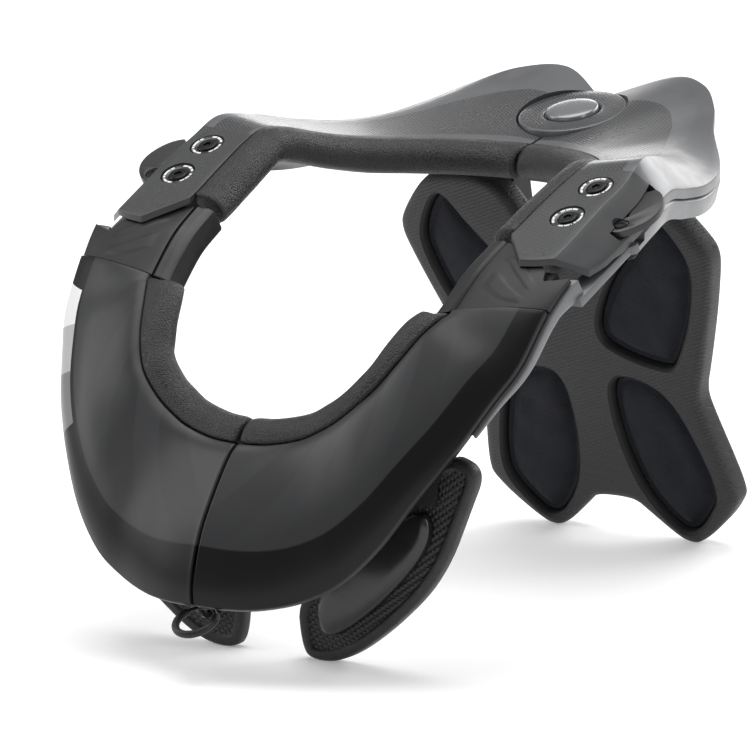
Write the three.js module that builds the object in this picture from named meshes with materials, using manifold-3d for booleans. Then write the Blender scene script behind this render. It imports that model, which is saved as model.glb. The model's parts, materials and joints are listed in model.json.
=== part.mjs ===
// Motocross neck brace: a split front bib and a two-plate rear yoke around an open neck ring,
// thumb levers at the sides, a back stabilizer and two chest pads.
// Millimetres, X to the wearer's left, Y to the wearer's back, Z up.
import * as THREE from 'three';
import { mergeVertices } from 'three/addons/utils/BufferGeometryUtils.js';
import Module from 'manifold-3d';

const wasm = await Module();
wasm.setup();

// Overall sizes
const HALF_WIDTH = 120; // middle plane to the outer edge of an arm
const NECK_HALF = 80; // middle plane to the inner edge of an arm
const LENGTH = 300; // front seam to the back of the rear plates
const HEIGHT = 200; // foot of the stabilizer to the rear plates

// Walls and clearances
const GAP = 0.3; // between touching pieces
const SEAM = 1.5; // open seam between left and right pieces
const SHELL_WALL = 4; // front shells
const COVER_SINK = 1.5; // arm cover below the front shell's surface
const COVER_WALL = 2.3;
const FRAME_WALL = 4; // carrier under the shells
const CROWN = 7.6; // bulge of a front shell over its chord
const PLATE_WALL = 4.2; // rear plates
const LIP_WALL = 3; // front lip of the rear plate over the arm cover
const BASE_WALL = 9; // lower shell under the rear plate
const BASE_GAP = 0.5; // between the rear plate and the lower shell, whose faces both curve

// Arm plane: both arms lie in one plane that rises to the back
const ARM_RISE = 0.6868; // share of the height gained over one length
const ARM_TILT = Math.atan((ARM_RISE * HEIGHT) / LENGTH);
const SCREW_X = 0.8317 * HALF_WIDTH;
const SCREW_Y = 0.415 * LENGTH; // front screw
const SCREW_Z = 0.889 * HEIGHT;
const SCREW_PITCH = 22.4;
const WASHER_RADIUS = 7.3;
const WASHER_HEIGHT = 1.4;
const SCREW_HEAD_RADIUS = 4.2;
const SCREW_HEAD_HEIGHT = 1.2;
const SCREW_SHANK_RADIUS = 1.6;
const SCREW_SHANK_LENGTH = 1.2;
const HEX_ACROSS = 3.2;
const SOCKET_DEPTH = 0.9;
const WASHER_SINK = 0.4; // washer's top below the plate's surface
const ROUND_SIDES = 20;
const SHANK_SIDES = 10;
const DRILL = 60; // reach of a tool that cuts right through

// Levers and pivot pins
const PIN_X = HALF_WIDTH;
const PIN_AHEAD = 7; // behind the front screw, along the arm plane
const PIN_RADIUS = 3;
const PIN_HEAD = 0.2; // pin's top above the lever
const PIN_TAIL = 3.4; // pin's foot below the lug
const LEVER_DEPTH = 6.3; // below the plate's surface
const LEVER_WALL = 3;
const LEVER_LENGTH = 26;
const LEVER_BULGE = 11;
const LEVER_EYE = 5.6;
const LUG_DEPTH = 14.4;
const LUG_WALL = 4;
const LUG_RADIUS = 6.2;
const LUG_LENGTH = 42;
const SWING_ROOM = 1.5; // round the lug and the lever where they turn

// Soft bolsters round the neck
const BOLSTER_WIDTH = 13;
const BOLSTER_HEIGHT = 13;
const REAR_ROLL_HEIGHT = 14.5;
const ROLL_LEVEL_ROW = 3.6; // row of the rear ring where its roll stands level

// Back stabilizer
const BACK_LEAN = THREE.MathUtils.degToRad(20.3); // from upright, foot to the back
const BACK_FOOT_Y = 1.0133 * LENGTH; // of its front face at the floor
const BACK_HALF = 80;
const BACK_HEIGHT = 0.905 * HEIGHT; // along the leaning face
const BACK_WALL = 12;
const BACK_BEVEL = 2.5;
const POCKET_DEPTH = 6;
const BACK_PAD_WALL = 4;
const BACK_PAD_ROUND = 1;
const BACK_ARM_WALL = 6;
const BACK_ARM_WIDTH = 5;
const BACK_ARM_FOOT = 0.62; // of the stabilizer's height
const BACK_ARM_HEAD = 0.88;
const MOUNT_X = 22;
const MOUNT_Y = 0.89 * LENGTH;
const MOUNT_Z = 0.835 * HEIGHT;
const MOUNT_WIDTH = 5;
const MOUNT_EYE = 5.5;
const MOUNT_PIN = 2.5;
const MOUNT_ROOT = 0.5; // how far the pin is let into the ear

// Hub on the rear seam
const HUB_RADIUS = 23.5;
const HUB_WALL = 5;
const HUB_SEAM = 0.8;
const HUB_Y = 0.90167 * LENGTH;
const HUB_Z = 0.958 * HEIGHT;
const HUB_RISE = THREE.MathUtils.degToRad(13);
const BUTTON_RADIUS = 11.5;
const BUTTON_HEIGHT = 2.6;
const BUTTON_SEAT = 2.2;
const BUTTON_RING = 0.8;

// Chest pads
const CHEST_PAD_WALL = 7;
const CHEST_PAD_ROUND = 1.5;
const CHEST_CAP_WALL = 4;
const CHEST_CAP_ROUND = 1;
const CHEST_WIDTH = 100;
const CHEST_HEIGHT = 92;
const CHEST_X = 7; // middle plane to the near end of a pad's outline
const CHEST_Y = 58; // back of the pads
const HANGER_WALL = 3;
const HANGER_X = 79; // middle of the hanger that joins a pad to the carrier
const HANGER_WIDTH = 15;
const HANGER_FOOT = 0.76; // of the pad's height
const HANGER_REACH = 0.66; // of the overall height, well inside the carrier before trimming

// Pull ring under the front seam
const RING_RADIUS = 8.6;
const RING_TUBE = 1.6;
const RING_DROOP = THREE.MathUtils.degToRad(28);
const RING_EYE_Y = 8.6;
const RING_EYE_Z = 0.1275 * HEIGHT;
const EYE_RADIUS = 2.3;
const EYE_WALL = 1.6;
const EYE_RISE = 30; // up into the carrier, where it is cut off at the seat

// The small turn that sets all four feet on the floor
const SET_DOWN = THREE.MathUtils.degToRad(-0.64);

const V = (x, y, z) => new THREE.Vector3(x, y, z);

// Front ring, from the centre seam to under the rear plate's lip.
// Columns: inner edge x (of NECK_HALF), y (of LENGTH), z (of HEIGHT),
// outer edge x (of HALF_WIDTH), y (of LENGTH), z (of HEIGHT), crown (of CROWN)
const FRONT_RING = [
  [0, 0.103, 0.448, 0, -0.003, 0.144, 1],
  [0.175, 0.108, 0.451, 0.12, 0.004, 0.142, 1],
  [0.356, 0.116, 0.466, 0.242, 0.017, 0.146, 1],
  [0.475, 0.122, 0.488, 0.375, 0.035, 0.165, 1],
  [0.575, 0.128, 0.513, 0.507, 0.05, 0.206, 1],
  [0.681, 0.138, 0.55, 0.632, 0.073, 0.281, 1],
  [0.754, 0.153, 0.582, 0.738, 0.103, 0.378, 0.95],
  [0.825, 0.177, 0.63, 0.837, 0.143, 0.473, 0.85],
  [0.888, 0.208, 0.68, 0.913, 0.187, 0.57, 0.7],
  [0.938, 0.232, 0.709, 0.965, 0.223, 0.64, 0.5],
  [0.968, 0.25, 0.726, 0.989, 0.273, 0.74, 0.35],
  [0.991, 0.31, 0.8, 1.01, 0.32, 0.806, 0.15],
  [1.004, 0.373, 0.851, 1.015, 0.367, 0.847, 0],
];
const SHELL_ROW = 10; // row where the front shell ends
const SHELL_STEPS = 13;

// Section of the front surface. Columns: share from the inner to the outer edge, height (of the crown)
const CROWN_SECTION = [
  [0, 0],
  [0.05, 0.28],
  [0.155, 0.55],
  [0.38, 0.87],
  [0.58, 1],
  [0.77, 0.78],
  [0.92, 0.4],
  [1, 0],
];

// Rear ring, from the bracket's tip to the rear seam.
// Columns: inner edge x (of NECK_HALF), y, z; crease x (of HALF_WIDTH), y, z; outer low edge x (of HALF_WIDTH), y, z
const REAR_RING = [
  [1.028, 0.366, 0.857, 0.925, 0.328, 0.829, 1.015, 0.361, 0.802],
  [1.03, 0.39, 0.872, 0.928, 0.365, 0.854, 1.03, 0.395, 0.82],
  [1.037, 0.437, 0.905, 0.927, 0.437, 0.905, 1.035, 0.45, 0.857],
  [1.05, 0.5, 0.945, 0.925, 0.5, 0.945, 1.03, 0.513, 0.9],
  [1.05, 0.54, 0.963, 0.905, 0.55, 0.98, 0.99, 0.573, 0.915],
  [1.005, 0.577, 0.96, 0.863, 0.607, 0.972, 0.95, 0.633, 0.902],
  [0.9, 0.627, 0.94, 0.797, 0.677, 0.95, 0.9, 0.713, 0.892],
  [0.775, 0.677, 0.925, 0.7, 0.753, 0.937, 0.81, 0.797, 0.905],
  [0.6, 0.73, 0.918, 0.6, 0.833, 0.947, 0.633, 0.887, 0.948],
  [0.425, 0.763, 0.915, 0.517, 0.907, 0.97, 0.528, 0.95, 0.982],
  [0.25, 0.787, 0.912, 0.383, 0.973, 0.992, 0.4, 1, 1.012],
  [0.125, 0.798, 0.91, 0.225, 0.98, 0.998, 0.227, 1.023, 1.016],
  [0, 0.802, 0.909, 0, 0.953, 0.963, 0, 0.973, 0.97],
];
const LIP_END = 1.3; // row where the lip ends
const NOSE = 9; // forward bow of the rear plate's front edge

// Section of the rear plate. Columns: share from inner edge to crease, share from crease to outer edge, nose share
const PLATE_SECTION = [
  [0, 0, 0],
  [0.25, 0, 0.5],
  [0.5, 0, 1],
  [0.78, 0, 0.5],
  [1, 0, 0],
  [1, 0.5, 0],
  [1, 1, 0],
];

// Back stabilizer outline, right half from the bottom notch up to the V of the top.
// Columns: x (of BACK_HALF), distance up the face (of BACK_HEIGHT)
const BACK_OUTLINE = [
  [0.06, 0.106],
  [0.14, 0.1],
  [0.19, 0.08],
  [0.36, 0.014],
  [0.44, 0],
  [0.52, 0.008],
  [0.7, 0.075],
  [0.795, 0.125],
  [0.81, 0.15],
  [0.79, 0.215],
  [0.72, 0.36],
  [0.705, 0.415],
  [0.77, 0.485],
  [0.9, 0.64],
  [0.985, 0.76],
  [1, 0.8],
  [0.98, 0.835],
  [0.83, 0.92],
  [0.69, 0.965],
  [0.3, 0.965],
  [0.16, 0.86],
  [0.05, 0.74],
];
const UPPER_POCKET = [
  [0.17, 0.56],
  [0.34, 0.515],
  [0.58, 0.49],
  [0.64, 0.51],
  [0.78, 0.63],
  [0.86, 0.75],
  [0.84, 0.81],
  [0.74, 0.885],
  [0.67, 0.905],
  [0.55, 0.82],
  [0.3, 0.69],
];
const LOWER_POCKET = [
  [0.16, 0.445],
  [0.14, 0.3],
  [0.2, 0.16],
  [0.3, 0.085],
  [0.42, 0.032],
  [0.52, 0.045],
  [0.66, 0.12],
  [0.685, 0.16],
  [0.66, 0.24],
  [0.54, 0.4],
  [0.36, 0.45],
];

// Chest pad outline in its own plane. Columns: x (of CHEST_WIDTH), z (of CHEST_HEIGHT)
const CHEST_OUTLINE = [
  [0.07, 0.3],
  [0.09, 0.05],
  [0.15, 0],
  [0.31, 0.02],
  [0.54, 0.19],
  [0.78, 0.44],
  [0.92, 0.78],
  [0.97, 0.9],
  [0.94, 0.97],
  [0.82, 1],
  [0.5, 0.72],
];
const CAP_OUTLINE = [
  [0.19, 0.32],
  [0.2, 0.16],
  [0.27, 0.13],
  [0.5, 0.3],
  [0.72, 0.54],
  [0.76, 0.68],
  [0.7, 0.74],
  [0.5, 0.6],
];

// Sections of the soft rolls. Columns: distance towards the neck (of BOLSTER_WIDTH), height (of BOLSTER_HEIGHT)
const ROLL_SECTION = [
  [0, -0.08],
  [0.25, 0.02],
  [0.6, -0.05],
  [0.88, -0.26],
  [1, -0.54],
  [0.92, -0.82],
  [0.65, -0.98],
  [0.27, -1],
  [0, -0.88],
];
const LINER_SECTION = [
  [0, -0.15],
  [0.35, -0.13],
  [0.68, -0.26],
  [0.74, -0.92],
  [0.6, -1.02],
  [0, -1],
];

// Smooth row through the rows of a table, at a row number that need not be whole
function rowAt(table, row) {
  const last = table.length - 1;
  const at = Math.min(Math.max(row, 0), last);
  const k = Math.min(Math.floor(at), last - 1);
  const t = at - k;
  const pick = (i, c) => {
    if (i < 0) return 2 * table[0][c] - table[1][c];
    if (i > last) return 2 * table[last][c] - table[last - 1][c];
    return table[i][c];
  };
  return table[k].map((_, c) => {
    const [a, b, d, e] = [pick(k - 1, c), pick(k, c), pick(k + 1, c), pick(k + 2, c)];
    const m0 = (d - a) / 2;
    const m1 = (e - b) / 2;
    const t2 = t * t;
    const t3 = t2 * t;
    return (2 * t3 - 3 * t2 + 1) * b + (t3 - 2 * t2 + t) * m0 + (3 * t2 - 2 * t3) * d + (t3 - t2) * m1;
  });
}

function steps(from, to, count) {
  return Array.from({ length: count + 1 }, (_, i) => from + ((to - from) * i) / count);
}

// Station of the front ring: its edges, and its across and normal directions
function frontStation(row) {
  const edges = (r) => {
    const c = rowAt(FRONT_RING, r);
    return {
      inner: V(c[0] * NECK_HALF, c[1] * LENGTH, c[2] * HEIGHT),
      outer: V(c[3] * HALF_WIDTH, c[4] * LENGTH, c[5] * HEIGHT),
      crown: c[6] * CROWN,
    };
  };
  const here = edges(row);
  const before = edges(Math.max(row - 0.2, 0));
  const after = edges(Math.min(row + 0.2, FRONT_RING.length - 1));
  const along = after.inner.clone().add(after.outer).sub(before.inner).sub(before.outer);
  if (row < 0.3) along.set(1, 0, 0);
  const across = here.outer.clone().sub(here.inner).normalize();
  const up = across.clone().cross(along).normalize();
  if (up.z < 0) up.negate();
  return { ...here, across, up, span: here.outer.distanceTo(here.inner) };
}

// Point of the front surface, at a share from the inner to the outer edge, lowered by a depth
function frontPoint(row, share, depth) {
  const s = frontStation(row);
  const k = Math.min(
    CROWN_SECTION.findIndex((c, i) => i > 0 && share <= c[0] + 1e-9),
    CROWN_SECTION.length - 1,
  );
  const [a, b] = [CROWN_SECTION[k - 1], CROWN_SECTION[k]];
  const t = (share - a[0]) / (b[0] - a[0]);
  const height = (a[1] + (b[1] - a[1]) * t) * s.crown;
  return s.inner.clone().lerp(s.outer, share).addScaledVector(s.up, height - depth);
}

// Point of the arm plane, by its sideways place, distance behind the front screw, and depth
function armPoint(x, behind, depth) {
  return V(
    x,
    SCREW_Y + behind * Math.cos(ARM_TILT) + depth * Math.sin(ARM_TILT),
    SCREW_Z + behind * Math.sin(ARM_TILT) - depth * Math.cos(ARM_TILT),
  );
}

// Point of the rear surface on a row and a column of its section
function rearPoint(row, column, drop) {
  const c = rowAt(REAR_RING, row);
  const inner = V(c[0] * NECK_HALF, c[1] * LENGTH, c[2] * HEIGHT);
  const crease = V(c[3] * HALF_WIDTH, c[4] * LENGTH, c[5] * HEIGHT);
  const outer = V(c[6] * HALF_WIDTH, c[7] * LENGTH, c[8] * HEIGHT);
  const [inShare, outShare, nose] = PLATE_SECTION[column];
  const p = inner.lerp(crease, inShare).lerp(outer, outShare);
  const bow = Math.max(0, 1 - row) * nose * NOSE;
  return p.add(V(0, -bow, -drop - bow * Math.tan(ARM_TILT)));
}

function build(points, faces) {
  const g = new THREE.BufferGeometry();
  g.setAttribute('position', new THREE.Float32BufferAttribute(points.flatMap((p) => [p.x, p.y, p.z]), 3));
  g.setIndex(faces.flat());
  return g;
}

// Turns a geometry's faces out where they point in
function facingOut(g) {
  const p = g.attributes.position;
  const i = g.index;
  let volume = 0;
  const [a, b, c] = [V(), V(), V()];
  for (let k = 0; k < i.count; k += 3) {
    a.fromBufferAttribute(p, i.getX(k));
    b.fromBufferAttribute(p, i.getX(k + 1));
    c.fromBufferAttribute(p, i.getX(k + 2));
    volume += a.dot(b.cross(c));
  }
  if (volume < 0) {
    for (let k = 0; k < i.count; k += 3) {
      const first = i.getX(k);
      i.setX(k, i.getX(k + 1));
      i.setX(k + 1, first);
    }
  }
  return g;
}

// Closed plate between an upper and a lower grid of points, rows by columns
function slab(upper, lower) {
  const rows = upper.length;
  const columns = upper[0].length;
  const points = [...upper.flat(), ...lower.flat()];
  const below = rows * columns;
  const at = (i, j) => i * columns + j;
  const faces = [];
  const quad = (a, b, c, d) => faces.push([a, b, c], [a, c, d]);
  for (let i = 0; i + 1 < rows; i += 1) {
    for (let j = 0; j + 1 < columns; j += 1) {
      quad(at(i, j), at(i, j + 1), at(i + 1, j + 1), at(i + 1, j));
      quad(below + at(i, j), below + at(i + 1, j), below + at(i + 1, j + 1), below + at(i, j + 1));
    }
    const last = columns - 1;
    quad(at(i, 0), at(i + 1, 0), below + at(i + 1, 0), below + at(i, 0));
    quad(at(i + 1, last), at(i, last), below + at(i, last), below + at(i + 1, last));
  }
  for (let j = 0; j + 1 < columns; j += 1) {
    const end = rows - 1;
    quad(at(0, j + 1), at(0, j), below + at(0, j), below + at(0, j + 1));
    quad(at(end, j), at(end, j + 1), below + at(end, j + 1), below + at(end, j));
  }
  return facingOut(build(points, faces));
}

// Closed roll through sections that have the same number of points
function loft(sections) {
  const count = sections[0].length;
  const points = sections.flat();
  const faces = [];
  for (let i = 0; i + 1 < sections.length; i += 1) {
    for (let j = 0; j < count; j += 1) {
      const k = (j + 1) % count;
      const [a, b] = [i * count, (i + 1) * count];
      faces.push([a + j, a + k, b + k], [a + j, b + k, b + j]);
    }
  }
  const cap = (section, start, flip) => {
    const middle = section.reduce((sum, p) => sum.add(p), V(0, 0, 0)).divideScalar(count);
    const u = section[0].clone().sub(middle).normalize();
    const n = u.clone().cross(section[2].clone().sub(middle)).normalize();
    const w = n.clone().cross(u);
    const flat = section.map((p) => {
      const d = p.clone().sub(middle);
      return new THREE.Vector2(d.dot(u), d.dot(w));
    });
    THREE.ShapeUtils.triangulateShape(flat, []).forEach(([x, y, z]) => {
      faces.push(flip ? [start + z, start + y, start + x] : [start + x, start + y, start + z]);
    });
  };
  const area = (section) => {
    const n = V(0, 0, 0);
    section.forEach((p, j) => n.add(p.clone().cross(section[(j + 1) % count])));
    return n;
  };
  const forward = sections[1][0].clone().sub(sections[0][0]);
  const turned = area(sections[0]).dot(forward) > 0;
  cap(sections[0], 0, turned);
  cap(sections[sections.length - 1], (sections.length - 1) * count, !turned);
  const g = build(points, faces);
  return facingOut(consistent(g));
}

// Makes the two end caps of a roll wind the same way as its side
function consistent(g) {
  const index = Array.from(g.index.array);
  const triangles = [];
  for (let k = 0; k < index.length; k += 3) triangles.push(index.slice(k, k + 3));
  const edges = new Map();
  triangles.forEach((t, k) => {
    for (let e = 0; e < 3; e += 1) {
      const key = [t[e], t[(e + 1) % 3]].sort((x, y) => x - y).join();
      edges.set(key, [...(edges.get(key) ?? []), k]);
    }
  });
  const done = new Set([0]);
  const queue = [0];
  while (queue.length > 0) {
    const k = queue.pop();
    const t = triangles[k];
    for (let e = 0; e < 3; e += 1) {
      const [a, b] = [t[e], t[(e + 1) % 3]];
      const key = [a, b].sort((x, y) => x - y).join();
      edges.get(key).filter((n) => !done.has(n)).forEach((n) => {
        const other = triangles[n];
        const same = [0, 1, 2].some((q) => other[q] === a && other[(q + 1) % 3] === b);
        if (same) other.reverse();
        done.add(n);
        queue.push(n);
      });
    }
  }
  g.setIndex(triangles.flat());
  return g;
}

function mirrored(g) {
  const m = g.clone();
  m.scale(-1, 1, 1);
  return facingOut(m);
}

function toSolid(g) {
  const m = welded(g);
  return new wasm.Manifold(new wasm.Mesh({
    numProp: 3,
    vertProperties: new Float32Array(m.attributes.position.array),
    triVerts: new Uint32Array(m.index.array),
  }));
}

function toGeometry(solid) {
  const m = solid.getMesh();
  const g = new THREE.BufferGeometry();
  g.setAttribute('position', new THREE.BufferAttribute(new Float32Array(m.vertProperties), 3));
  g.setIndex(Array.from(m.triVerts));
  return g;
}

// Cuts tools out of a geometry; small offcuts fall away
function cut(g, ...tools) {
  const pieces = tools.reduce((solid, t) => solid.subtract(toSolid(t)), toSolid(g)).decompose();
  return toGeometry(pieces.reduce((best, piece) => (piece.volume() > best.volume() ? piece : best)));
}

function join(g, ...others) {
  return toGeometry(others.reduce((solid, t) => solid.add(toSolid(t)), toSolid(g)));
}

// Puts a shape drawn in the arm plane (x sideways, y behind the front screw) at a depth below it
function inArmPlane(g, depth) {
  const placed = g.clone();
  placed.rotateX(ARM_TILT);
  const o = armPoint(0, 0, depth);
  placed.translate(o.x, o.y, o.z);
  return placed;
}

// The bare closed mesh of a three.js geometry, its shared corners merged
function welded(g) {
  const plain = g.clone();
  plain.deleteAttribute('normal');
  plain.deleteAttribute('uv');
  return mergeVertices(plain, 1e-4);
}

function extrude(shape, depth, options = {}) {
  return welded(new THREE.ExtrudeGeometry(shape, { depth, bevelEnabled: false, curveSegments: 6, ...options }));
}

function outlineShape(points) {
  return new THREE.Shape(points.map(([x, y]) => new THREE.Vector2(x, y)));
}

// A round post across the arm plane, from one depth down to another
function armPost(x, behind, radius, top, bottom, sides = 16) {
  const g = new THREE.CylinderGeometry(radius, radius, bottom - top, sides);
  g.rotateX(Math.PI / 2);
  g.translate(x, behind, -(bottom - top) / 2);
  return inArmPlane(g, top);
}

// A flat box in the arm plane between two corners and two depths
function armBox(x0, x1, behind0, behind1, top, bottom) {
  const g = new THREE.BoxGeometry(x1 - x0, behind1 - behind0, bottom - top);
  g.translate((x0 + x1) / 2, (behind0 + behind1) / 2, -(bottom - top) / 2);
  return inArmPlane(g, top);
}

function frontShell() {
  const rows = steps(0, SHELL_ROW, SHELL_STEPS);
  const grid = (depth) => rows.map((r) => CROWN_SECTION.map(([share]) => {
    const p = frontPoint(r, share, depth);
    if (r === 0) p.x = SEAM / 2;
    return p;
  }));
  return slab(grid(0), grid(SHELL_WALL));
}

// Arm cover, whose rear end follows the slanted front edge of the rear plate
const COVER_SHARES = [0, 0.25, 0.5, 0.7, 0.76, 0.88, 1];
const COVER_END = [11.86, 11.86, 11.45, 11.04, 10.74, 10.8, 10.9]; // row of each column's end
const COVER_START_GAP = 0.04;

function armCover() {
  const shares = steps(0, 1, 5);
  const grid = (depth) => shares.map((t) => COVER_SHARES.map((share, j) => {
    const start = SHELL_ROW + COVER_START_GAP;
    return frontPoint(start + (COVER_END[j] - start) * t, share, depth);
  }));
  return slab(grid(COVER_SINK), grid(COVER_SINK + COVER_WALL));
}

// Carrier under both shells and both arm covers, one piece round the front
const FRAME_SHARES = [0.02, 0.2, 0.4, 0.6, 0.78];
const FRAME_END = 11.15;
const FRAME_DEPTH = SHELL_WALL + GAP;
const ROOF_RISE = 12;

// Plate round the whole front between two depths
function roundFront(sectionShares, top, bottom) {
  const rows = [...steps(0, SHELL_ROW, SHELL_STEPS), (SHELL_ROW + FRAME_END) / 2, FRAME_END];
  const side = (depth, sign) => rows.map((r) => sectionShares.map((share) => {
    const p = frontPoint(r, share, depth);
    p.x *= sign;
    return p;
  }));
  const grid = (depth) => [...side(depth, -1).reverse(), ...side(depth, 1).slice(1)];
  return slab(grid(top), grid(bottom));
}

function frontFrame() {
  return roundFront(FRAME_SHARES, FRAME_DEPTH, FRAME_DEPTH + FRAME_WALL);
}

// Everything from above the front down to a gap under the carrier, which trims what hangs from it
function frontRoof() {
  return roundFront([0, 0.05, 0.2, 0.4, 0.6, 0.78, 1], -ROOF_RISE, FRAME_DEPTH + FRAME_WALL + GAP);
}

// Roll along the neck edge of the front ring
function frontRoll(section, from, to, count) {
  const rings = steps(from, to, count).map((r) => {
    const s = frontStation(r);
    return section.map(([a, n]) => {
      const p = s.inner.clone()
        .addScaledVector(s.across, -GAP - a * BOLSTER_WIDTH)
        .addScaledVector(s.up, n * BOLSTER_HEIGHT);
      if (r === 0) p.x = SEAM / 2;
      return p;
    });
  });
  return loft(rings);
}

// Roll along the neck edge of the rear plate
function rearRoll(section, rows) {
  const rings = rows.map((r, i) => {
    const inner = rearPoint(r, 0, 0);
    const along = rearPoint(r + 0.1, 0, 0).sub(rearPoint(r - 0.1, 0, 0)).setZ(0).normalize();
    if (r > REAR_RING.length - 1.3) along.set(-1, 0, 0);
    const towardsNeck = V(-along.y, along.x, 0);
    const tilt = ARM_TILT * THREE.MathUtils.clamp((ROLL_LEVEL_ROW - r) / 2, 0, 1);
    return section.map(([a, n]) => {
      const p = inner.clone().addScaledVector(towardsNeck, BASE_GAP + a * BOLSTER_WIDTH);
      p.z += n * REAR_ROLL_HEIGHT * Math.cos(tilt);
      p.y -= n * REAR_ROLL_HEIGHT * Math.sin(tilt);
      if (i === rows.length - 1) p.x = SEAM / 2;
      return p;
    });
  });
  return loft(rings);
}

function plateWall(row) {
  return row < LIP_END ? LIP_WALL : PLATE_WALL;
}

function hubSolid(radius, top, bottom) {
  const g = new THREE.CylinderGeometry(radius, radius, top - bottom, 28);
  g.rotateX(Math.PI / 2 + HUB_RISE);
  const centre = hubPoint(0, (top + bottom) / 2);
  g.translate(centre.x, centre.y, centre.z);
  return g;
}

// Point over the hub's centre, by its distance up the hub's axis
function hubPoint(x, height) {
  return V(x, HUB_Y - height * Math.sin(HUB_RISE), HUB_Z + height * Math.cos(HUB_RISE));
}

function screwSeat(behind) {
  const head = armPost(SCREW_X, behind, WASHER_RADIUS + GAP, -WASHER_RADIUS, WASHER_HEIGHT + WASHER_SINK + GAP,
    ROUND_SIDES);
  const shank = armPost(SCREW_X, behind, SCREW_SHANK_RADIUS + GAP, 0,
    WASHER_HEIGHT + SCREW_SHANK_LENGTH + 2 * GAP + WASHER_SINK, SHANK_SIDES);
  return [head, shank];
}

// The space that the lever and the front yoke's lug turn in
function leverSpace() {
  return armBox(PIN_X - LEVER_EYE - SWING_ROOM, PIN_X + DRILL, PIN_AHEAD - LEVER_EYE - SWING_ROOM,
    PIN_AHEAD + LEVER_LENGTH + 2 * SWING_ROOM, LEVER_DEPTH - GAP, LEVER_DEPTH + LEVER_WALL + GAP);
}

function pinBore() {
  return armPost(PIN_X, PIN_AHEAD, PIN_RADIUS + GAP, 0, DRILL);
}

function lugSpace() {
  return armBox(PIN_X - LUG_RADIUS - SWING_ROOM, PIN_X + DRILL, PIN_AHEAD - DRILL,
    PIN_AHEAD + LUG_RADIUS + SWING_ROOM, LUG_DEPTH - GAP, LUG_DEPTH + LUG_WALL + GAP);
}

const PLATE_START = 1.6; // row where the full wall starts, behind the lip
const PLATE_STEPS = 14;
const PLATE_ROWS = steps(PLATE_START, REAR_RING.length - 1, PLATE_STEPS);

function rearShell() {
  const rows = [0, 0.5, 1.1, ...PLATE_ROWS];
  const grid = (lower) => rows.map((r) => PLATE_SECTION.map((_, j) => {
    const p = rearPoint(r, j, lower ? plateWall(r) : 0);
    if (r === REAR_RING.length - 1) p.x = SEAM / 2;
    return p;
  }));
  const plate = slab(grid(false), grid(true));
  return cut(plate, ...screwSeat(0), ...screwSeat(SCREW_PITCH), leverSpace(), pinBore(),
    hubSolid(HUB_RADIUS + HUB_SEAM, DRILL, -DRILL));
}

// Lower shell under the rear plate, from behind the arm cover to the rear seam
const BASE_SECTION = [0.9, 0.9, 0.9, 1, 1, 1, 0.9]; // thickness of each column, of BASE_WALL
const BASE_START = 1.15;
const BASE_TUCK = 2; // lower outer edge drawn in
const BASE_NARROW_ROW = 7.5; // row behind which the lower shell stays under the plate's inner half

function lowerShell() {
  const rows = [BASE_START, ...PLATE_ROWS];
  const tuck = (j) => (j === 6 ? BASE_TUCK : 0);
  const grid = (lower) => rows.map((r) => PLATE_SECTION.map((_, j) => {
    const drop = PLATE_WALL + BASE_GAP + (lower ? BASE_WALL * BASE_SECTION[j] : 0);
    const p = rearPoint(r, j, drop);
    if (r > BASE_NARROW_ROW && j > 3) p.copy(rearPoint(r, 3, drop)).lerp(rearPoint(r, 4, drop), (j - 3) / 4);
    if (lower) p.x -= tuck(j);
    if (r === REAR_RING.length - 1) p.x = SEAM / 2;
    return p;
  }));
  return cut(slab(grid(false), grid(true)), leverSpace(), lugSpace(), pinBore(),
    hubSolid(HUB_RADIUS + HUB_SEAM, DRILL, -HUB_WALL - GAP));
}

// Beam under the outer edge of the arm, with the lug that turns on the pin
const BEAM_START = 7.4;
const BEAM_END = 11.05;
const BEAM_WIDTH = 7;
const BEAM_OUT = 1.6;
const BEAM_HEIGHT = 6;
const BEAM_STEPS = 8;
const BEAM_TAPER = 0.35; // height at the front end, of the beam's height
const BEAM_KNEE = 0.75; // share of the length where the beam starts to drop to the lug
const BEAM_DROP = 5; // what it gains there

function beamStation(row) {
  const s = frontStation(row);
  const t = (row - BEAM_START) / (BEAM_END - BEAM_START);
  const taper = BEAM_TAPER + (1 - BEAM_TAPER) * Math.min(1, t * 2);
  const height = BEAM_HEIGHT * taper + BEAM_DROP * Math.max(0, (t - BEAM_KNEE) / (1 - BEAM_KNEE));
  const corner = (a, n) => s.outer.clone().addScaledVector(s.across, a).addScaledVector(s.up, -n);
  return [
    corner(BEAM_OUT - BEAM_WIDTH, FRAME_DEPTH),
    corner(BEAM_OUT, FRAME_DEPTH),
    corner(BEAM_OUT, FRAME_DEPTH + height * 0.75),
    corner(BEAM_OUT - 2, FRAME_DEPTH + height),
    corner(BEAM_OUT - BEAM_WIDTH, FRAME_DEPTH + height),
  ];
}

function sideBeam(open) {
  const beam = loft(steps(BEAM_START, BEAM_END, BEAM_STEPS).map(beamStation));
  const lugTop = LUG_DEPTH;
  const eye = armPost(PIN_X, PIN_AHEAD, LUG_RADIUS, lugTop, lugTop + LUG_WALL, 20);
  const bar = armBox(PIN_X - LUG_RADIUS, PIN_X + LUG_RADIUS * 0.6, PIN_AHEAD - LUG_LENGTH, PIN_AHEAD,
    lugTop, lugTop + LUG_WALL);
  const whole = join(beam, bar, eye);
  if (!open) return cut(whole, pinBore());
  const mouth = armBox(PIN_X - PIN_RADIUS - GAP, PIN_X + DRILL, PIN_AHEAD, PIN_AHEAD + DRILL, 0, DRILL);
  return cut(whole, pinBore(), mouth);
}

function pivotPin() {
  return armPost(PIN_X, PIN_AHEAD, PIN_RADIUS, LEVER_DEPTH - PIN_HEAD, LUG_DEPTH + LUG_WALL + PIN_TAIL);
}

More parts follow.
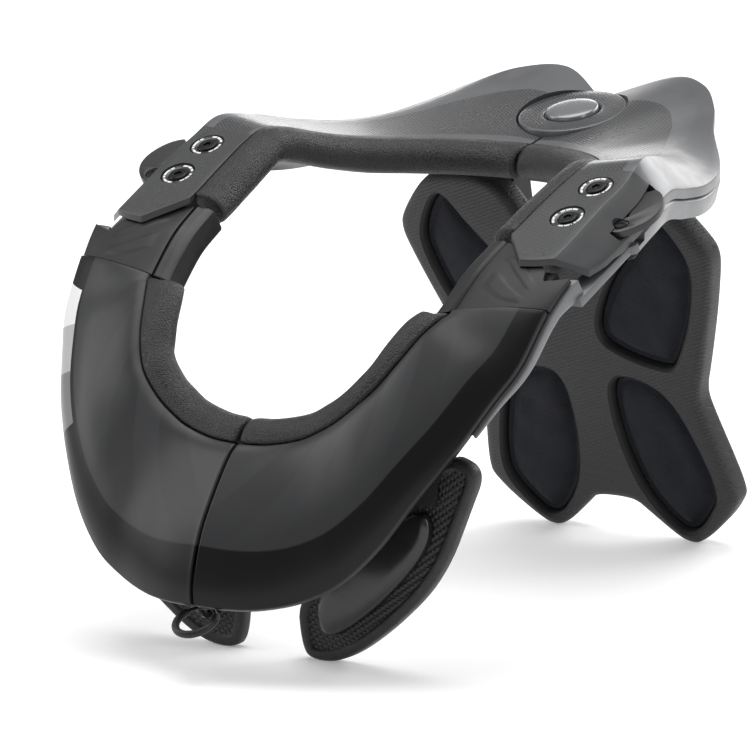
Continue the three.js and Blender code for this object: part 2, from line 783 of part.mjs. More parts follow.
function lever() {
  const shape = new THREE.Shape();
  const [x, y] = [PIN_X, PIN_AHEAD];
  shape.absarc(x, y, LEVER_EYE, Math.PI / 2, -Math.PI / 3, false);
  shape.quadraticCurveTo(x + LEVER_BULGE * 1.15, y + 3, x + LEVER_BULGE, y + LEVER_LENGTH * 0.5);
  shape.quadraticCurveTo(x + LEVER_BULGE * 0.8, y + LEVER_LENGTH * 0.9, x + 1, y + LEVER_LENGTH);
  shape.lineTo(x - LEVER_EYE * 0.6, y + LEVER_LENGTH * 0.85);
  shape.closePath();
  const hole = new THREE.Path();
  hole.absarc(x, y, PIN_RADIUS + GAP, 0, Math.PI * 2, true);
  shape.holes.push(hole);
  return inArmPlane(extrude(shape, LEVER_WALL), LEVER_DEPTH + LEVER_WALL);
}

function washer(behind) {
  const ring = armPost(SCREW_X, behind, WASHER_RADIUS, WASHER_SINK, WASHER_HEIGHT + WASHER_SINK, ROUND_SIDES);
  return cut(ring, armPost(SCREW_X, behind, SCREW_SHANK_RADIUS + GAP, -DRILL, DRILL, SHANK_SIDES),
    armPost(SCREW_X, behind, SCREW_HEAD_RADIUS + GAP, -DRILL, SCREW_HEAD_HEIGHT + GAP, SHANK_SIDES));
}

function screw(behind) {
  const head = armPost(SCREW_X, behind, SCREW_HEAD_RADIUS, 0, SCREW_HEAD_HEIGHT, SHANK_SIDES);
  const shank = armPost(SCREW_X, behind, SCREW_SHANK_RADIUS, WASHER_SINK,
    WASHER_HEIGHT + SCREW_SHANK_LENGTH + WASHER_SINK, SHANK_SIDES);
  const socket = armPost(SCREW_X, behind, HEX_ACROSS / Math.sqrt(3), -DRILL, SOCKET_DEPTH, 6);
  return cut(join(head, shank), socket);
}

// The leaning face of the stabilizer, as a local frame: x sideways, y up the face, z towards the wearer
function onBack(g) {
  const placed = g.clone();
  placed.rotateX(Math.PI / 2 + BACK_LEAN);
  placed.translate(0, BACK_FOOT_Y, 0);
  return placed;
}

function mirrorOutline(points) {
  const right = points.map(([x, y]) => [x * BACK_HALF, y * BACK_HEIGHT]);
  return [...right, ...right.map(([x, y]) => [-x, y]).reverse()];
}

function sidePoints(points, sign) {
  const placed = points.map(([x, y]) => [sign * x * BACK_HALF, y * BACK_HEIGHT]);
  return sign > 0 ? placed : placed.reverse();
}

// Outline moved inward by a distance
function inset(points, distance) {
  const middle = points.reduce(([sx, sy], [x, y]) => [sx + x / points.length, sy + y / points.length], [0, 0]);
  return points.map(([x, y]) => {
    const d = Math.hypot(x - middle[0], y - middle[1]);
    const k = (d - distance) / d;
    return [middle[0] + (x - middle[0]) * k, middle[1] + (y - middle[1]) * k];
  });
}

function stabilizer() {
  const board = extrude(outlineShape(mirrorOutline(BACK_OUTLINE)), BACK_WALL - 2 * BACK_BEVEL, {
    bevelEnabled: true,
    bevelThickness: BACK_BEVEL,
    bevelSize: BACK_BEVEL,
    bevelOffset: -BACK_BEVEL,
    bevelSegments: 2,
  });
  board.translate(0, 0, -BACK_WALL + BACK_BEVEL);
  const pockets = [UPPER_POCKET, LOWER_POCKET].flatMap((outline) => [1, -1].map((sign) => {
    const pocket = extrude(outlineShape(sidePoints(outline, sign)), POCKET_DEPTH + DRILL);
    pocket.translate(0, 0, -POCKET_DEPTH);
    return pocket;
  }));
  return onBack(cut(board, ...pockets));
}

function backPad(outline, sign) {
  const pad = extrude(outlineShape(inset(sidePoints(outline, sign), 2 * GAP)), BACK_PAD_WALL - BACK_PAD_ROUND, {
    bevelEnabled: true,
    bevelThickness: BACK_PAD_ROUND,
    bevelSize: BACK_PAD_ROUND,
    bevelOffset: -BACK_PAD_ROUND,
    bevelSegments: 1,
  });
  pad.translate(0, 0, -POCKET_DEPTH + GAP);
  return onBack(cut(pad, baseBlock()));
}

// Everything behind a pocket's floor
function baseBlock() {
  const g = new THREE.BoxGeometry(4 * BACK_HALF, 4 * BACK_HEIGHT, DRILL);
  g.translate(0, 0, -POCKET_DEPTH + GAP - DRILL / 2);
  return g;
}

// Place behind the stabilizer: distance up its face and depth behind that face, seen from the side
function backPoint(up, depth) {
  return [
    BACK_FOOT_Y - up * Math.sin(BACK_LEAN) + depth * Math.cos(BACK_LEAN),
    up * Math.cos(BACK_LEAN) + depth * Math.sin(BACK_LEAN),
  ];
}

// A flat piece drawn from the side (y, z) and given a width along x
function sidePlate(points, x, width, hole) {
  const outline = points.map(([y, z]) => new THREE.Vector2(y, z));
  const shape = new THREE.Shape(THREE.ShapeUtils.isClockWise(outline) ? outline.reverse() : outline);
  if (hole) {
    const path = new THREE.Path();
    path.absarc(hole[0], hole[1], hole[2], 0, Math.PI * 2, true);
    shape.holes.push(path);
  }
  const g = extrude(shape, width);
  g.rotateX(Math.PI / 2);
  g.rotateZ(Math.PI / 2);
  g.translate(x, 0, 0);
  return g;
}

function roundEnd(y, z, radius, from, to, count) {
  return steps(from, to, count).map((a) => [y + radius * Math.cos(a), z + radius * Math.sin(a)]);
}

// Arm down the back of the stabilizer, with an eye on the mount's pin
function backArm() {
  const low = backPoint(BACK_ARM_FOOT * BACK_HEIGHT, BACK_WALL + GAP);
  const lowOut = backPoint(BACK_ARM_FOOT * BACK_HEIGHT, BACK_WALL + GAP + BACK_ARM_WALL);
  const high = backPoint(BACK_ARM_HEAD * BACK_HEIGHT, BACK_WALL + GAP);
  const eye = roundEnd(MOUNT_Y, MOUNT_Z, MOUNT_EYE, BACK_LEAN + Math.PI * 1.05, BACK_LEAN, 10);
  return sidePlate([low, high, ...eye, lowOut], MOUNT_X + MOUNT_WIDTH / 2 + GAP, BACK_ARM_WIDTH,
    [MOUNT_Y, MOUNT_Z, MOUNT_PIN + GAP]);
}

// Ear under the lower shell, with the pin that the stabilizer tilts on
function backMount(base) {
  const eye = roundEnd(MOUNT_Y, MOUNT_Z, MOUNT_EYE, 0, -Math.PI, 8);
  const ear = sidePlate([...eye, [MOUNT_Y - MOUNT_EYE, HEIGHT], [MOUNT_Y + MOUNT_EYE, HEIGHT]],
    MOUNT_X - MOUNT_WIDTH / 2, MOUNT_WIDTH);
  const reach = BACK_ARM_WIDTH + GAP + 2 * MOUNT_ROOT;
  const pin = new THREE.CylinderGeometry(MOUNT_PIN, MOUNT_PIN, reach, 16);
  pin.rotateZ(Math.PI / 2);
  pin.translate(MOUNT_X + MOUNT_WIDTH / 2 + reach / 2 - MOUNT_ROOT, MOUNT_Y, MOUNT_Z);
  const above = [0, 1, 2].map((k) => {
    const copy = base.clone();
    copy.translate(0, 0, k * BASE_WALL * 0.8 - GAP);
    return copy;
  });
  return join(cut(ear, ...above), pin);
}

function chestSolid(outline, wall, out, bevel) {
  const g = extrude(outlineShape(outline.map(([x, z]) => [x * CHEST_WIDTH + CHEST_X, z * CHEST_HEIGHT])),
    wall - 2 * bevel, {
      bevelEnabled: true,
      bevelThickness: bevel,
      bevelSize: bevel,
      bevelOffset: -bevel,
      bevelSegments: 1,
    });
  g.rotateX(Math.PI / 2);
  g.translate(0, CHEST_Y - out - bevel, 0);
  return g;
}

// Plate in front of a chest pad that carries it, trimmed at the carrier's underside
function chestHanger() {
  const top = HANGER_REACH * HEIGHT;
  const foot = CHEST_HEIGHT * HANGER_FOOT;
  const g = new THREE.BoxGeometry(HANGER_WIDTH, HANGER_WALL, top - foot);
  g.translate(HANGER_X, CHEST_Y - CHEST_PAD_WALL - GAP - HANGER_WALL / 2, (top + foot) / 2);
  return cut(g, frontRoof());
}

// Lowest level of a piece once the whole brace has taken its small turn
function lowestLevel(g) {
  const p = g.attributes.position;
  const levels = Array.from({ length: p.count }, (_, k) => (
    p.getY(k) * Math.sin(SET_DOWN) + p.getZ(k) * Math.cos(SET_DOWN)));
  return Math.min(...levels);
}

// Hub over the rear seam, with a round seat for its button
function hub() {
  const seat = hubSolid(BUTTON_RADIUS + BUTTON_RING, DRILL, -BUTTON_SEAT);
  return cut(hubSolid(HUB_RADIUS, 0, -HUB_WALL), seat);
}

function hubButton() {
  const r = BUTTON_RADIUS;
  const h = BUTTON_HEIGHT;
  const profile = [[0, -BUTTON_SEAT + GAP], [r * 0.94, -BUTTON_SEAT + GAP], [r, -BUTTON_SEAT + 0.8], [r, 0],
    [r * 0.93, h * 0.45], [r * 0.75, h * 0.78], [r * 0.45, h * 0.95], [0, h]];
  const g = new THREE.LatheGeometry(profile.map(([x, y]) => new THREE.Vector2(x, y)), 22);
  g.rotateX(Math.PI / 2 + HUB_RISE);
  const o = hubPoint(0, 0);
  g.translate(o.x, o.y, o.z);
  return welded(g);
}

// Small eye under the front seam that the pull ring hangs in
function ringEye() {
  const shape = new THREE.Shape();
  shape.absarc(0, 0, EYE_RADIUS + EYE_WALL, Math.PI, Math.PI * 2, false);
  shape.lineTo(EYE_RADIUS + EYE_WALL, EYE_RISE);
  shape.lineTo(-EYE_RADIUS - EYE_WALL, EYE_RISE);
  shape.closePath();
  const hole = new THREE.Path();
  hole.absarc(0, 0, EYE_RADIUS, 0, Math.PI * 2, true);
  shape.holes.push(hole);
  const g = extrude(shape, EYE_WALL);
  g.rotateX(Math.PI / 2);
  g.rotateZ(Math.PI / 2);
  g.translate(-EYE_WALL / 2, RING_EYE_Y, RING_EYE_Z);
  return cut(g, frontRoof());
}

function pullRing() {
  const g = new THREE.TorusGeometry(RING_RADIUS, RING_TUBE, 6, 22);
  g.rotateX(RING_DROOP);
  const reach = RING_RADIUS - EYE_RADIUS + RING_TUBE + GAP;
  g.translate(0, RING_EYE_Y - reach * Math.cos(RING_DROOP), RING_EYE_Z - reach * Math.sin(RING_DROOP));
  return welded(g);
}

const MATERIALS = {
  shell: { color: 0x2f3032, roughness: 0.42, metalness: 0.05 },
  cover: { color: 0x1f2022, roughness: 0.6, metalness: 0 },
  beam: { color: 0x8a8c8e, roughness: 0.4, metalness: 0.2 },
  plate: { color: 0x55575a, roughness: 0.35, metalness: 0.2 },
  foam: { color: 0x17181a, roughness: 0.9, metalness: 0 },
  liner: { color: 0x1c1d1f, roughness: 0.5, metalness: 0 },
  board: { color: 0x2c2d2f, roughness: 0.85, metalness: 0 },
  fabric: { color: 0x0f1115, roughness: 0.95, metalness: 0 },
  steel: { color: 0x18191a, roughness: 0.4, metalness: 0.7 },
  hub: { color: 0x6a6c6f, roughness: 0.25, metalness: 0.4 },
};

const parts = new THREE.Group();

function add(name, geometry, kind) {
  const mesh = new THREE.Mesh(geometry, new THREE.MeshStandardMaterial(MATERIALS[kind]));
  mesh.name = name;
  parts.add(mesh);
}

function addPair(name, geometry, kind) {
  add(`${name}_left`, geometry, kind);
  add(`${name}_right`, mirrored(geometry), kind);
}

addPair('front_shell', frontShell(), 'shell');
addPair('arm_cover', armCover(), 'cover');
add('front_frame', frontFrame(), 'cover');
addPair('front_foam', frontRoll(ROLL_SECTION, 0, SHELL_ROW - 0.1, 11), 'foam');
addPair('liner', frontRoll(LINER_SECTION, SHELL_ROW, 11.9, 3), 'liner');
add('side_beam_left', sideBeam(true), 'beam');
add('side_beam_right', mirrored(sideBeam(false)), 'beam');
addPair('rear_shell', rearShell(), 'plate');
const base = lowerShell();
addPair('lower_shell', base, 'beam');
addPair('rear_foam', rearRoll(ROLL_SECTION, [0.35, 1, ...PLATE_ROWS]), 'foam');
addPair('pivot_pin', pivotPin(), 'steel');
addPair('release_lever', lever(), 'steel');
[['front', 0], ['rear', SCREW_PITCH]].forEach(([place, behind]) => {
  addPair(`washer_${place}`, washer(behind), 'steel');
  addPair(`screw_${place}`, screw(behind), 'steel');
});
const board = stabilizer();
add('stabilizer', board, 'board');
[['upper', UPPER_POCKET], ['lower', LOWER_POCKET]].forEach(([place, outline]) => {
  add(`back_pad_${place}_left`, backPad(outline, 1), 'fabric');
  add(`back_pad_${place}_right`, backPad(outline, -1), 'fabric');
});
addPair('back_mount', backMount(base), 'steel');
addPair('back_arm', backArm(), 'cover');
add('rear_hub', hub(), 'plate');
add('hub_button', hubButton(), 'hub');
const chestPad = chestSolid(CHEST_OUTLINE, CHEST_PAD_WALL, 0, CHEST_PAD_ROUND);
const chestCap = chestSolid(CAP_OUTLINE, CHEST_CAP_WALL, CHEST_PAD_WALL + GAP, CHEST_CAP_ROUND);
const chestDrop = (lowestLevel(board) - lowestLevel(chestPad)) / Math.cos(SET_DOWN);
chestPad.translate(0, 0, chestDrop);
chestCap.translate(0, 0, chestDrop);
addPair('chest_pad', chestPad, 'fabric');
addPair('chest_cap', chestCap, 'liner');
addPair('chest_hanger', chestHanger(), 'cover');
add('ring_eye', ringEye(), 'steel');
add('pull_ring', pullRing(), 'steel');

const brace = new THREE.Group();
brace.add(parts);
parts.rotation.x = SET_DOWN;
brace.updateMatrixWorld(true);
const box = new THREE.Box3().setFromObject(brace, true);
brace.position.set(-(box.min.x + box.max.x) / 2, -(box.min.y + box.max.y) / 2, -box.min.z);

export default brace;
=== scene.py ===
"""Motocross neck brace: a split front bib, a rear yoke, a back stabilizer and chest pads.

Shapes are worked out in millimetres, with X to the wearer's left, Y to the wearer's back and
Z up, and every mesh is then settled onto the floor, in metres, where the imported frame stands.
"""

from __future__ import annotations

import json
import logging
import math
from dataclasses import dataclass, field, replace
from enum import Enum
from typing import Callable, Iterable, Sequence

import bmesh
import bpy
from mathutils import Matrix, Vector, geometry

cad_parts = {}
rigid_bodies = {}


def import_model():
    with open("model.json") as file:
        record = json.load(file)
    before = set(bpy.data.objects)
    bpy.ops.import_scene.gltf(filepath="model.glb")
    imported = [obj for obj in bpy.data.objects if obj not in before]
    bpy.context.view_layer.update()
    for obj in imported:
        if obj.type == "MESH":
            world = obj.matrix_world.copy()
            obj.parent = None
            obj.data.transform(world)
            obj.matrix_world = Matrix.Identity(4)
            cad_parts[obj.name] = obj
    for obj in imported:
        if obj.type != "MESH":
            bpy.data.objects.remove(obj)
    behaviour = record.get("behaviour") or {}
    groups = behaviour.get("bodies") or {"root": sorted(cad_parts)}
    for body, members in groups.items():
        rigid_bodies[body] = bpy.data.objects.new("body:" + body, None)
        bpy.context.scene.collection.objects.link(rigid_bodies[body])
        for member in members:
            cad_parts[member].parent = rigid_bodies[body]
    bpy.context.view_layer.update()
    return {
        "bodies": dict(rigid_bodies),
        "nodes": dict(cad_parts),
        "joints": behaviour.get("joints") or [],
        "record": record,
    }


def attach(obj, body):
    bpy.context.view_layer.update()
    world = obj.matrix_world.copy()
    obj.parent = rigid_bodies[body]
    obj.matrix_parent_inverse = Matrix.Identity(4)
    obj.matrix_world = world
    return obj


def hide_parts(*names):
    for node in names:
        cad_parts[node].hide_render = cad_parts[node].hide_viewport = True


log = logging.getLogger("neck_brace")

Colour = tuple[float, float, float]
Triple = tuple[float, float, float]
Row = Sequence[float]
Pair = tuple[float, float]
Socket = bpy.types.NodeSocket
Piece = bpy.types.Object

SETTLE = (
    Matrix.Translation((0.0, -0.15351429, 0.00255444))
    @ Matrix.Rotation(math.radians(-0.64), 4, "X")
    @ Matrix.Scale(0.001, 4)
)


class Side(Enum):
    """The wearer's side that a piece is on."""

    LEFT = 1
    RIGHT = -1

    @property
    def word(self) -> str:
        """The side's name, as the node names end."""
        return self.name.lower()


class Body(Enum):
    """The rigid bodies that pieces ride on."""

    REAR = "rear_frame"
    YOKE = "front_yoke"
    LEVER_LEFT = "lever_left"
    LEVER_RIGHT = "lever_right"
    BACK = "back_stabilizer"


class Slot(Enum):
    """The material slots of the record."""

    SHELL = "shell"
    COVER = "cover"
    FRAME = "frame"
    BEAM = "beam"
    PLATE = "plate"
    FOAM = "foam"
    LINER = "liner"
    BOARD = "board"
    PAD = "pad"
    METAL = "metal"
    BUTTON = "button"
    RING = "ring"


@dataclass(frozen=True)
class BraceSizes:
    """The driving sizes of the brace, in millimetres and radians; seam_ease is in rows of a ring."""

    half_width: float = 120.0
    neck_half: float = 80.0
    length: float = 300.0
    height: float = 200.0
    gap: float = 0.3
    seam: float = 1.5
    crown: float = 7.6
    shell_wall: float = 4.0
    arm_tilt: float = math.radians(24.6)
    screw_x: float = 99.8
    screw_y: float = 124.5
    screw_z: float = 177.8
    screw_pitch: float = 22.4
    pin_x: float = 120.0
    pin_ahead: float = 7.0
    roll_width: float = 13.0
    roll_height: float = 13.0
    washer_radius: float = 7.3
    pin_hole: float = 3.3
    lever_depth: float = 6.3
    lever_wall: float = 3.0
    lug_depth: float = 14.4
    lug_wall: float = 4.0
    seam_ease: float = 0.6

    @property
    def arm_frame(self) -> Matrix:
        """The arm plane: x sideways, y behind the front screw, z out of the plate."""
        place = Matrix.Translation((0.0, self.screw_y, self.screw_z))
        return place @ Matrix.Rotation(self.arm_tilt, 4, "X")

    def arm_spot(self, x: float, behind: float) -> Matrix:
        """The arm plane's frame, moved to a place on the plane."""
        return self.arm_frame @ Matrix.Translation((x, behind, 0.0))

    @property
    def pin_spot(self) -> Matrix:
        """The frame of the pivot pin's axis."""
        return self.arm_spot(self.pin_x, self.pin_ahead)


SIZES = BraceSizes()

# How far cutters that go right through reach
FAR = 60.0
# How far in the top of a mound has rings of points that follow its edge
RING_REACH = 7.0

# Columns: inner edge x (of neck_half), y (of length), z (of height),
# outer edge x (of half_width), y (of length), z (of height), crown (of crown)
FRONT_RING: list[Row] = [
    (0, 0.103, 0.448, 0, -0.003, 0.144, 1),
    (0.175, 0.108, 0.451, 0.12, 0.004, 0.142, 1),
    (0.356, 0.116, 0.466, 0.242, 0.017, 0.146, 1),
    (0.475, 0.122, 0.488, 0.375, 0.035, 0.165, 1),
    (0.575, 0.128, 0.513, 0.507, 0.05, 0.206, 1),
    (0.681, 0.138, 0.55, 0.632, 0.073, 0.281, 1),
    (0.754, 0.153, 0.582, 0.738, 0.103, 0.378, 0.95),
    (0.825, 0.177, 0.63, 0.837, 0.143, 0.473, 0.85),
    (0.888, 0.208, 0.68, 0.913, 0.187, 0.57, 0.7),
    (0.938, 0.232, 0.709, 0.965, 0.223, 0.64, 0.5),
    (0.968, 0.25, 0.726, 0.989, 0.273, 0.74, 0.35),
    (0.991, 0.31, 0.8, 1.01, 0.32, 0.806, 0.15),
    (1.004, 0.373, 0.851, 1.015, 0.367, 0.847, 0),
]

# Columns: share from the inner to the outer edge, height (of the crown)
CROWN_SECTION: list[Row] = [
    (0, 0), (0.05, 0.28), (0.155, 0.55), (0.38, 0.87), (0.58, 1), (0.77, 0.78), (0.92, 0.4), (1, 0),
]

# Columns: inner edge x (of neck_half), y, z; crease x (of half_width), y, z;
# outer low edge x (of half_width), y, z
REAR_RING: list[Row] = [
    (1.028, 0.366, 0.857, 0.925, 0.328, 0.829, 1.015, 0.361, 0.802),
    (1.03, 0.39, 0.872, 0.928, 0.365, 0.854, 1.03, 0.395, 0.82),
    (1.037, 0.437, 0.905, 0.927, 0.437, 0.905, 1.035, 0.45, 0.857),
    (1.05, 0.5, 0.945, 0.925, 0.5, 0.945, 1.03, 0.513, 0.9),
    (1.05, 0.54, 0.963, 0.905, 0.55, 0.98, 0.99, 0.573, 0.915),
    (1.005, 0.577, 0.96, 0.863, 0.607, 0.972, 0.95, 0.633, 0.902),
    (0.9, 0.627, 0.94, 0.797, 0.677, 0.95, 0.9, 0.713, 0.892),
    (0.775, 0.677, 0.925, 0.7, 0.753, 0.937, 0.81, 0.797, 0.905),
    (0.6, 0.73, 0.918, 0.6, 0.833, 0.947, 0.633, 0.887, 0.948),
    (0.425, 0.763, 0.915, 0.517, 0.907, 0.97, 0.528, 0.95, 0.982),
    (0.25, 0.787, 0.912, 0.383, 0.973, 0.992, 0.4, 1, 1.012),
    (0.125, 0.798, 0.91, 0.225, 0.98, 0.998, 0.227, 1.023, 1.016),
    (0, 0.802, 0.909, 0, 0.953, 0.963, 0, 0.973, 0.97),
]

# Columns: distance towards the neck (of roll_width), height (of the roll's height)
ROLL_SECTION: list[Row] = [
    (0, -0.08), (0.25, 0.02), (0.6, -0.05), (0.88, -0.26), (1, -0.54), (0.92, -0.82), (0.65, -0.98),
    (0.27, -1), (0, -0.88),
]
LINER_SECTION: list[Row] = [
    (0, -0.15), (0.35, -0.13), (0.68, -0.26), (0.74, -0.92), (0.6, -1.02), (0, -1),
]

# Right half of the stabilizer's edge. Columns: x (of its half width), way up the face (of its height)
BACK_OUTLINE: list[Row] = [
    (0.06, 0.106), (0.14, 0.1), (0.19, 0.08), (0.36, 0.014), (0.44, 0), (0.52, 0.008), (0.7, 0.075),
    (0.795, 0.125), (0.81, 0.15), (0.79, 0.215), (0.72, 0.36), (0.705, 0.415), (0.77, 0.485),
    (0.9, 0.64), (0.985, 0.76), (1, 0.8), (0.98, 0.835), (0.83, 0.92), (0.69, 0.965), (0.3, 0.965),
    (0.16, 0.86), (0.05, 0.74),
]
UPPER_POCKET: list[Row] = [
    (0.17, 0.56), (0.34, 0.515), (0.58, 0.49), (0.64, 0.51), (0.78, 0.63), (0.86, 0.75),
    (0.84, 0.81), (0.74, 0.885), (0.67, 0.905), (0.55, 0.82), (0.3, 0.69),
]
LOWER_POCKET: list[Row] = [
    (0.16, 0.445), (0.14, 0.3), (0.2, 0.16), (0.3, 0.085), (0.42, 0.032), (0.52, 0.045),
    (0.66, 0.12), (0.685, 0.16), (0.66, 0.24), (0.54, 0.4), (0.36, 0.45),
]

# Chest pad edges. Columns: x (of its width), z (of its height)
CHEST_OUTLINE: list[Row] = [
    (0.07, 0.3), (0.09, 0.05), (0.15, 0), (0.31, 0.02), (0.54, 0.19), (0.78, 0.44), (0.92, 0.78),
    (0.97, 0.9), (0.94, 0.97), (0.82, 1), (0.5, 0.72),
]
CAP_OUTLINE: list[Row] = [
    (0.19, 0.32), (0.2, 0.16), (0.27, 0.13), (0.5, 0.3), (0.72, 0.54), (0.76, 0.68), (0.7, 0.74),
    (0.5, 0.6),
]


LAST_FRONT = len(FRONT_RING) - 1
LAST_REAR = len(REAR_RING) - 1


def on_curve(t: float, y0: float, m0: float, y1: float, m1: float) -> float:
    """A value at a share of the way between two ends, each with its own slope."""
    t2, t3 = t * t, t * t * t
    return (2 * t3 - 3 * t2 + 1) * y0 + (t3 - 2 * t2 + t) * m0 + (3 * t2 - 2 * t3) * y1 + (t3 - t2) * m1


def smooth_row(table: Sequence[Row], row: float) -> list[float]:
    """Reads a smooth row out of a table of sections.

    Args:
        table: rows of equal length.
        row: row number, which need not be whole.

    Returns:
        The row's values.
    """
    last = len(table) - 1
    at = min(max(row, 0.0), float(last))
    k = min(int(at), last - 1)
    t = at - k

    def pick(i: int, c: int) -> float:
        """A table value, carried straight on past both ends.

        Args:
            i: row number, which may lie one past an end.
            c: column number.

        Returns:
            The value.
        """
        if i < 0:
            return 2 * table[0][c] - table[1][c]
        if i > last:
            return 2 * table[last][c] - table[last - 1][c]
        return table[i][c]

    values = []
    for c in range(len(table[0])):
        a, b, d, e = (pick(k + i, c) for i in (-1, 0, 1, 2))
        values.append(on_curve(t, b, (d - a) / 2, d, (e - b) / 2))
    return values


def between(pairs: Sequence[Row], x: float, smooth: bool = True) -> float:
    """Looks a value up between the pairs of a table.

    Args:
        pairs: (place, value) pairs in rising order of place.
        x: the place to look up.
        smooth: whether the value runs on a curve or on straight lines.

    Returns:
        The value at x.
    """
    last = len(pairs) - 1
    if x <= pairs[0][0]:
        return pairs[0][1]
    if x >= pairs[last][0]:
        return pairs[last][1]
    k = next(i for i in range(last) if x <= pairs[i + 1][0])
    (x0, y0), (x1, y1) = pairs[k], pairs[k + 1]
    t = (x - x0) / (x1 - x0)
    if not smooth:
        return y0 + (y1 - y0) * t

    def slope(i: int) -> float:
        """Slope of the curve at one of the pairs."""
        low, high = max(i - 1, 0), min(i + 1, last)
        return (pairs[high][1] - pairs[low][1]) / (pairs[high][0] - pairs[low][0])

    return on_curve(t, y0, slope(k) * (x1 - x0), y1, slope(k + 1) * (x1 - x0))


def steps(low: float, high: float, count: int) -> list[float]:
    """Even steps from low to high, both ends with them."""
    return [low + (high - low) * i / count for i in range(count + 1)]


def arc(x: float, y: float, radius: float, start: float, end: float, count: int) -> list[Pair]:
    """Points round a middle, evenly from one angle to another."""
    return [(x + radius * math.cos(a), y + radius * math.sin(a)) for a in steps(start, end, count)]


def rounded(outline: Sequence[Row], passes: int = 2, cut: float = 0.25) -> list[Pair]:
    """Rounds the corners of a closed outline, and keeps its overall width and height.

    Args:
        outline: corners in order.
        passes: how many times the corners are cut.
        cut: share of each edge that a cut takes.

    Returns:
        The rounded outline.
    """
    points = [(float(p[0]), float(p[1])) for p in outline]
    for _ in range(passes):
        cutting: list[Pair] = []
        for i, (x0, y0) in enumerate(points):
            x1, y1 = points[(i + 1) % len(points)]
            cutting.append((x0 + (x1 - x0) * cut, y0 + (y1 - y0) * cut))
            cutting.append((x1 - (x1 - x0) * cut, y1 - (y1 - y0) * cut))
        points = cutting
    spans = []
    for c in (0, 1):
        low, high = min(p[c] for p in outline), max(p[c] for p in outline)
        now_low, now_high = min(p[c] for p in points), max(p[c] for p in points)
        spans.append((low, now_low, (high - low) / (now_high - now_low)))
    return [tuple(low + (p[c] - now) * k for c, (low, now, k) in enumerate(spans)) for p in points]


def drawn_in(outline: Sequence[Row], distance: float) -> list[Pair]:
    """Moves a closed outline inwards, square to its edges.

    Args:
        outline: corners in order, either way round.
        distance: how far each edge moves in, in millimetres.

    Returns:
        The smaller outline, with as many corners.
    """
    count = len(outline)
    area = sum(
        outline[i][0] * outline[(i + 1) % count][1] - outline[(i + 1) % count][0] * outline[i][1]
        for i in range(count)
    )
    turn = 1.0 if area > 0 else -1.0
    moved = []
    for i in range(count):
        before, here, after = outline[i - 1], outline[i], outline[(i + 1) % count]
        run = Vector((after[0] - before[0], after[1] - before[1]))
        run.normalize()
        moved.append((here[0] - run.y * distance * turn, here[1] + run.x * distance * turn))
    return moved


@dataclass
class Skin:
    """Points, faces and face marks of one mesh, in millimetres."""

    points: list[Vector] = field(default_factory=list)
    faces: list[tuple[int, ...]] = field(default_factory=list)
    marks: list[int] = field(default_factory=list)
    spots: list[Pair] = field(default_factory=list)

    def add(self, other: "Skin") -> "Skin":
        """Takes another skin's faces in as a further shell, and returns this one.

        Args:
            other: the skin that is taken in.

        Returns:
            This skin.
        """
        start = len(self.points)
        self.points += other.points
        self.faces += [tuple(i + start for i in face) for face in other.faces]
        self.marks += other.marks
        self.spots += other.spots
        return self

    def moved(self, place: Matrix) -> "Skin":
        """The same skin with every point put through a matrix."""
        return Skin([place @ p for p in self.points], self.faces, self.marks, self.spots)

    def on(self, side: Side) -> "Skin":
        """The skin as it is on the left, or its mirror image on the right.

        Args:
            side: the wearer's side.

        Returns:
            The skin of that side.
        """
        if side is Side.LEFT:
            return self
        points = [Vector((-p.x, p.y, p.z)) for p in self.points]
        return Skin(points, [tuple(reversed(f)) for f in self.faces], self.marks, self.spots)


def plate(
    upper: list[list[Vector]],
    lower: list[list[Vector]],
    mark: Callable[[int, int], int] = lambda i, j: 0,
    spot: Callable[[int, int], Pair] | None = None,
    side: Callable[[int], int] = lambda i: 0,
) -> Skin:
    """Makes a closed plate between two grids of points.

    Args:
        upper: grid of the outer face, rows by columns.
        lower: grid of the inner face.
        mark: material mark of the outer face's cell at a row and a column.
        spot: map coordinates of the point at a row and a column, or none.
        side: material mark of the walls and the inner face at a row.

    Returns:
        The plate's skin.
    """
    rows, columns = len(upper), len(upper[0])
    skin = Skin([p for row in upper for p in row] + [p for row in lower for p in row])
    if spot is not None:
        skin.spots = [spot(i, j) for i in range(rows) for j in range(columns)] * 2
    below = rows * columns

    def at(i: int, j: int) -> int:
        """Number of the outer face's point."""
        return i * columns + j

    def quad(a: int, b: int, c: int, d: int, m: int) -> None:
        """Adds one cell."""
        skin.faces.append((a, b, c, d))
        skin.marks.append(m)

    for i in range(rows - 1):
        for j in range(columns - 1):
            m = side(i)
            quad(at(i, j), at(i, j + 1), at(i + 1, j + 1), at(i + 1, j), mark(i, j))
            quad(below + at(i, j), below + at(i + 1, j), below + at(i + 1, j + 1), below + at(i, j + 1), m)
        last = columns - 1
        quad(at(i, 0), at(i + 1, 0), below + at(i + 1, 0), below + at(i, 0), side(i))
        quad(at(i + 1, last), at(i, last), below + at(i, last), below + at(i + 1, last), side(i))
    end = rows - 1
    for j in range(columns - 1):
        quad(at(0, j + 1), at(0, j), below + at(0, j), below + at(0, j + 1), side(0))
        quad(at(end, j), at(end, j + 1), below + at(end, j + 1), below + at(end, j), side(end - 1))
    return skin


def roll(rings: list[list[Vector]]) -> Skin:
    """Joins each ring of points to the next, and fills in both ends.

    Args:
        rings: rings with as many points each, in order.

    Returns:
        The closed skin.
    """
    count = len(rings[0])
    skin = Skin([p for ring in rings for p in ring])
    for a in range(0, (len(rings) - 1) * count, count):
        for j in range(count):
            k = (j + 1) % count
            skin.faces.append((a + j, a + k, a + count + k, a + count + j))
    for start in (0, (len(rings) - 1) * count):
        skin.faces.append(tuple(range(start, start + count)))
    skin.marks = [0] * len(skin.faces)
    return skin


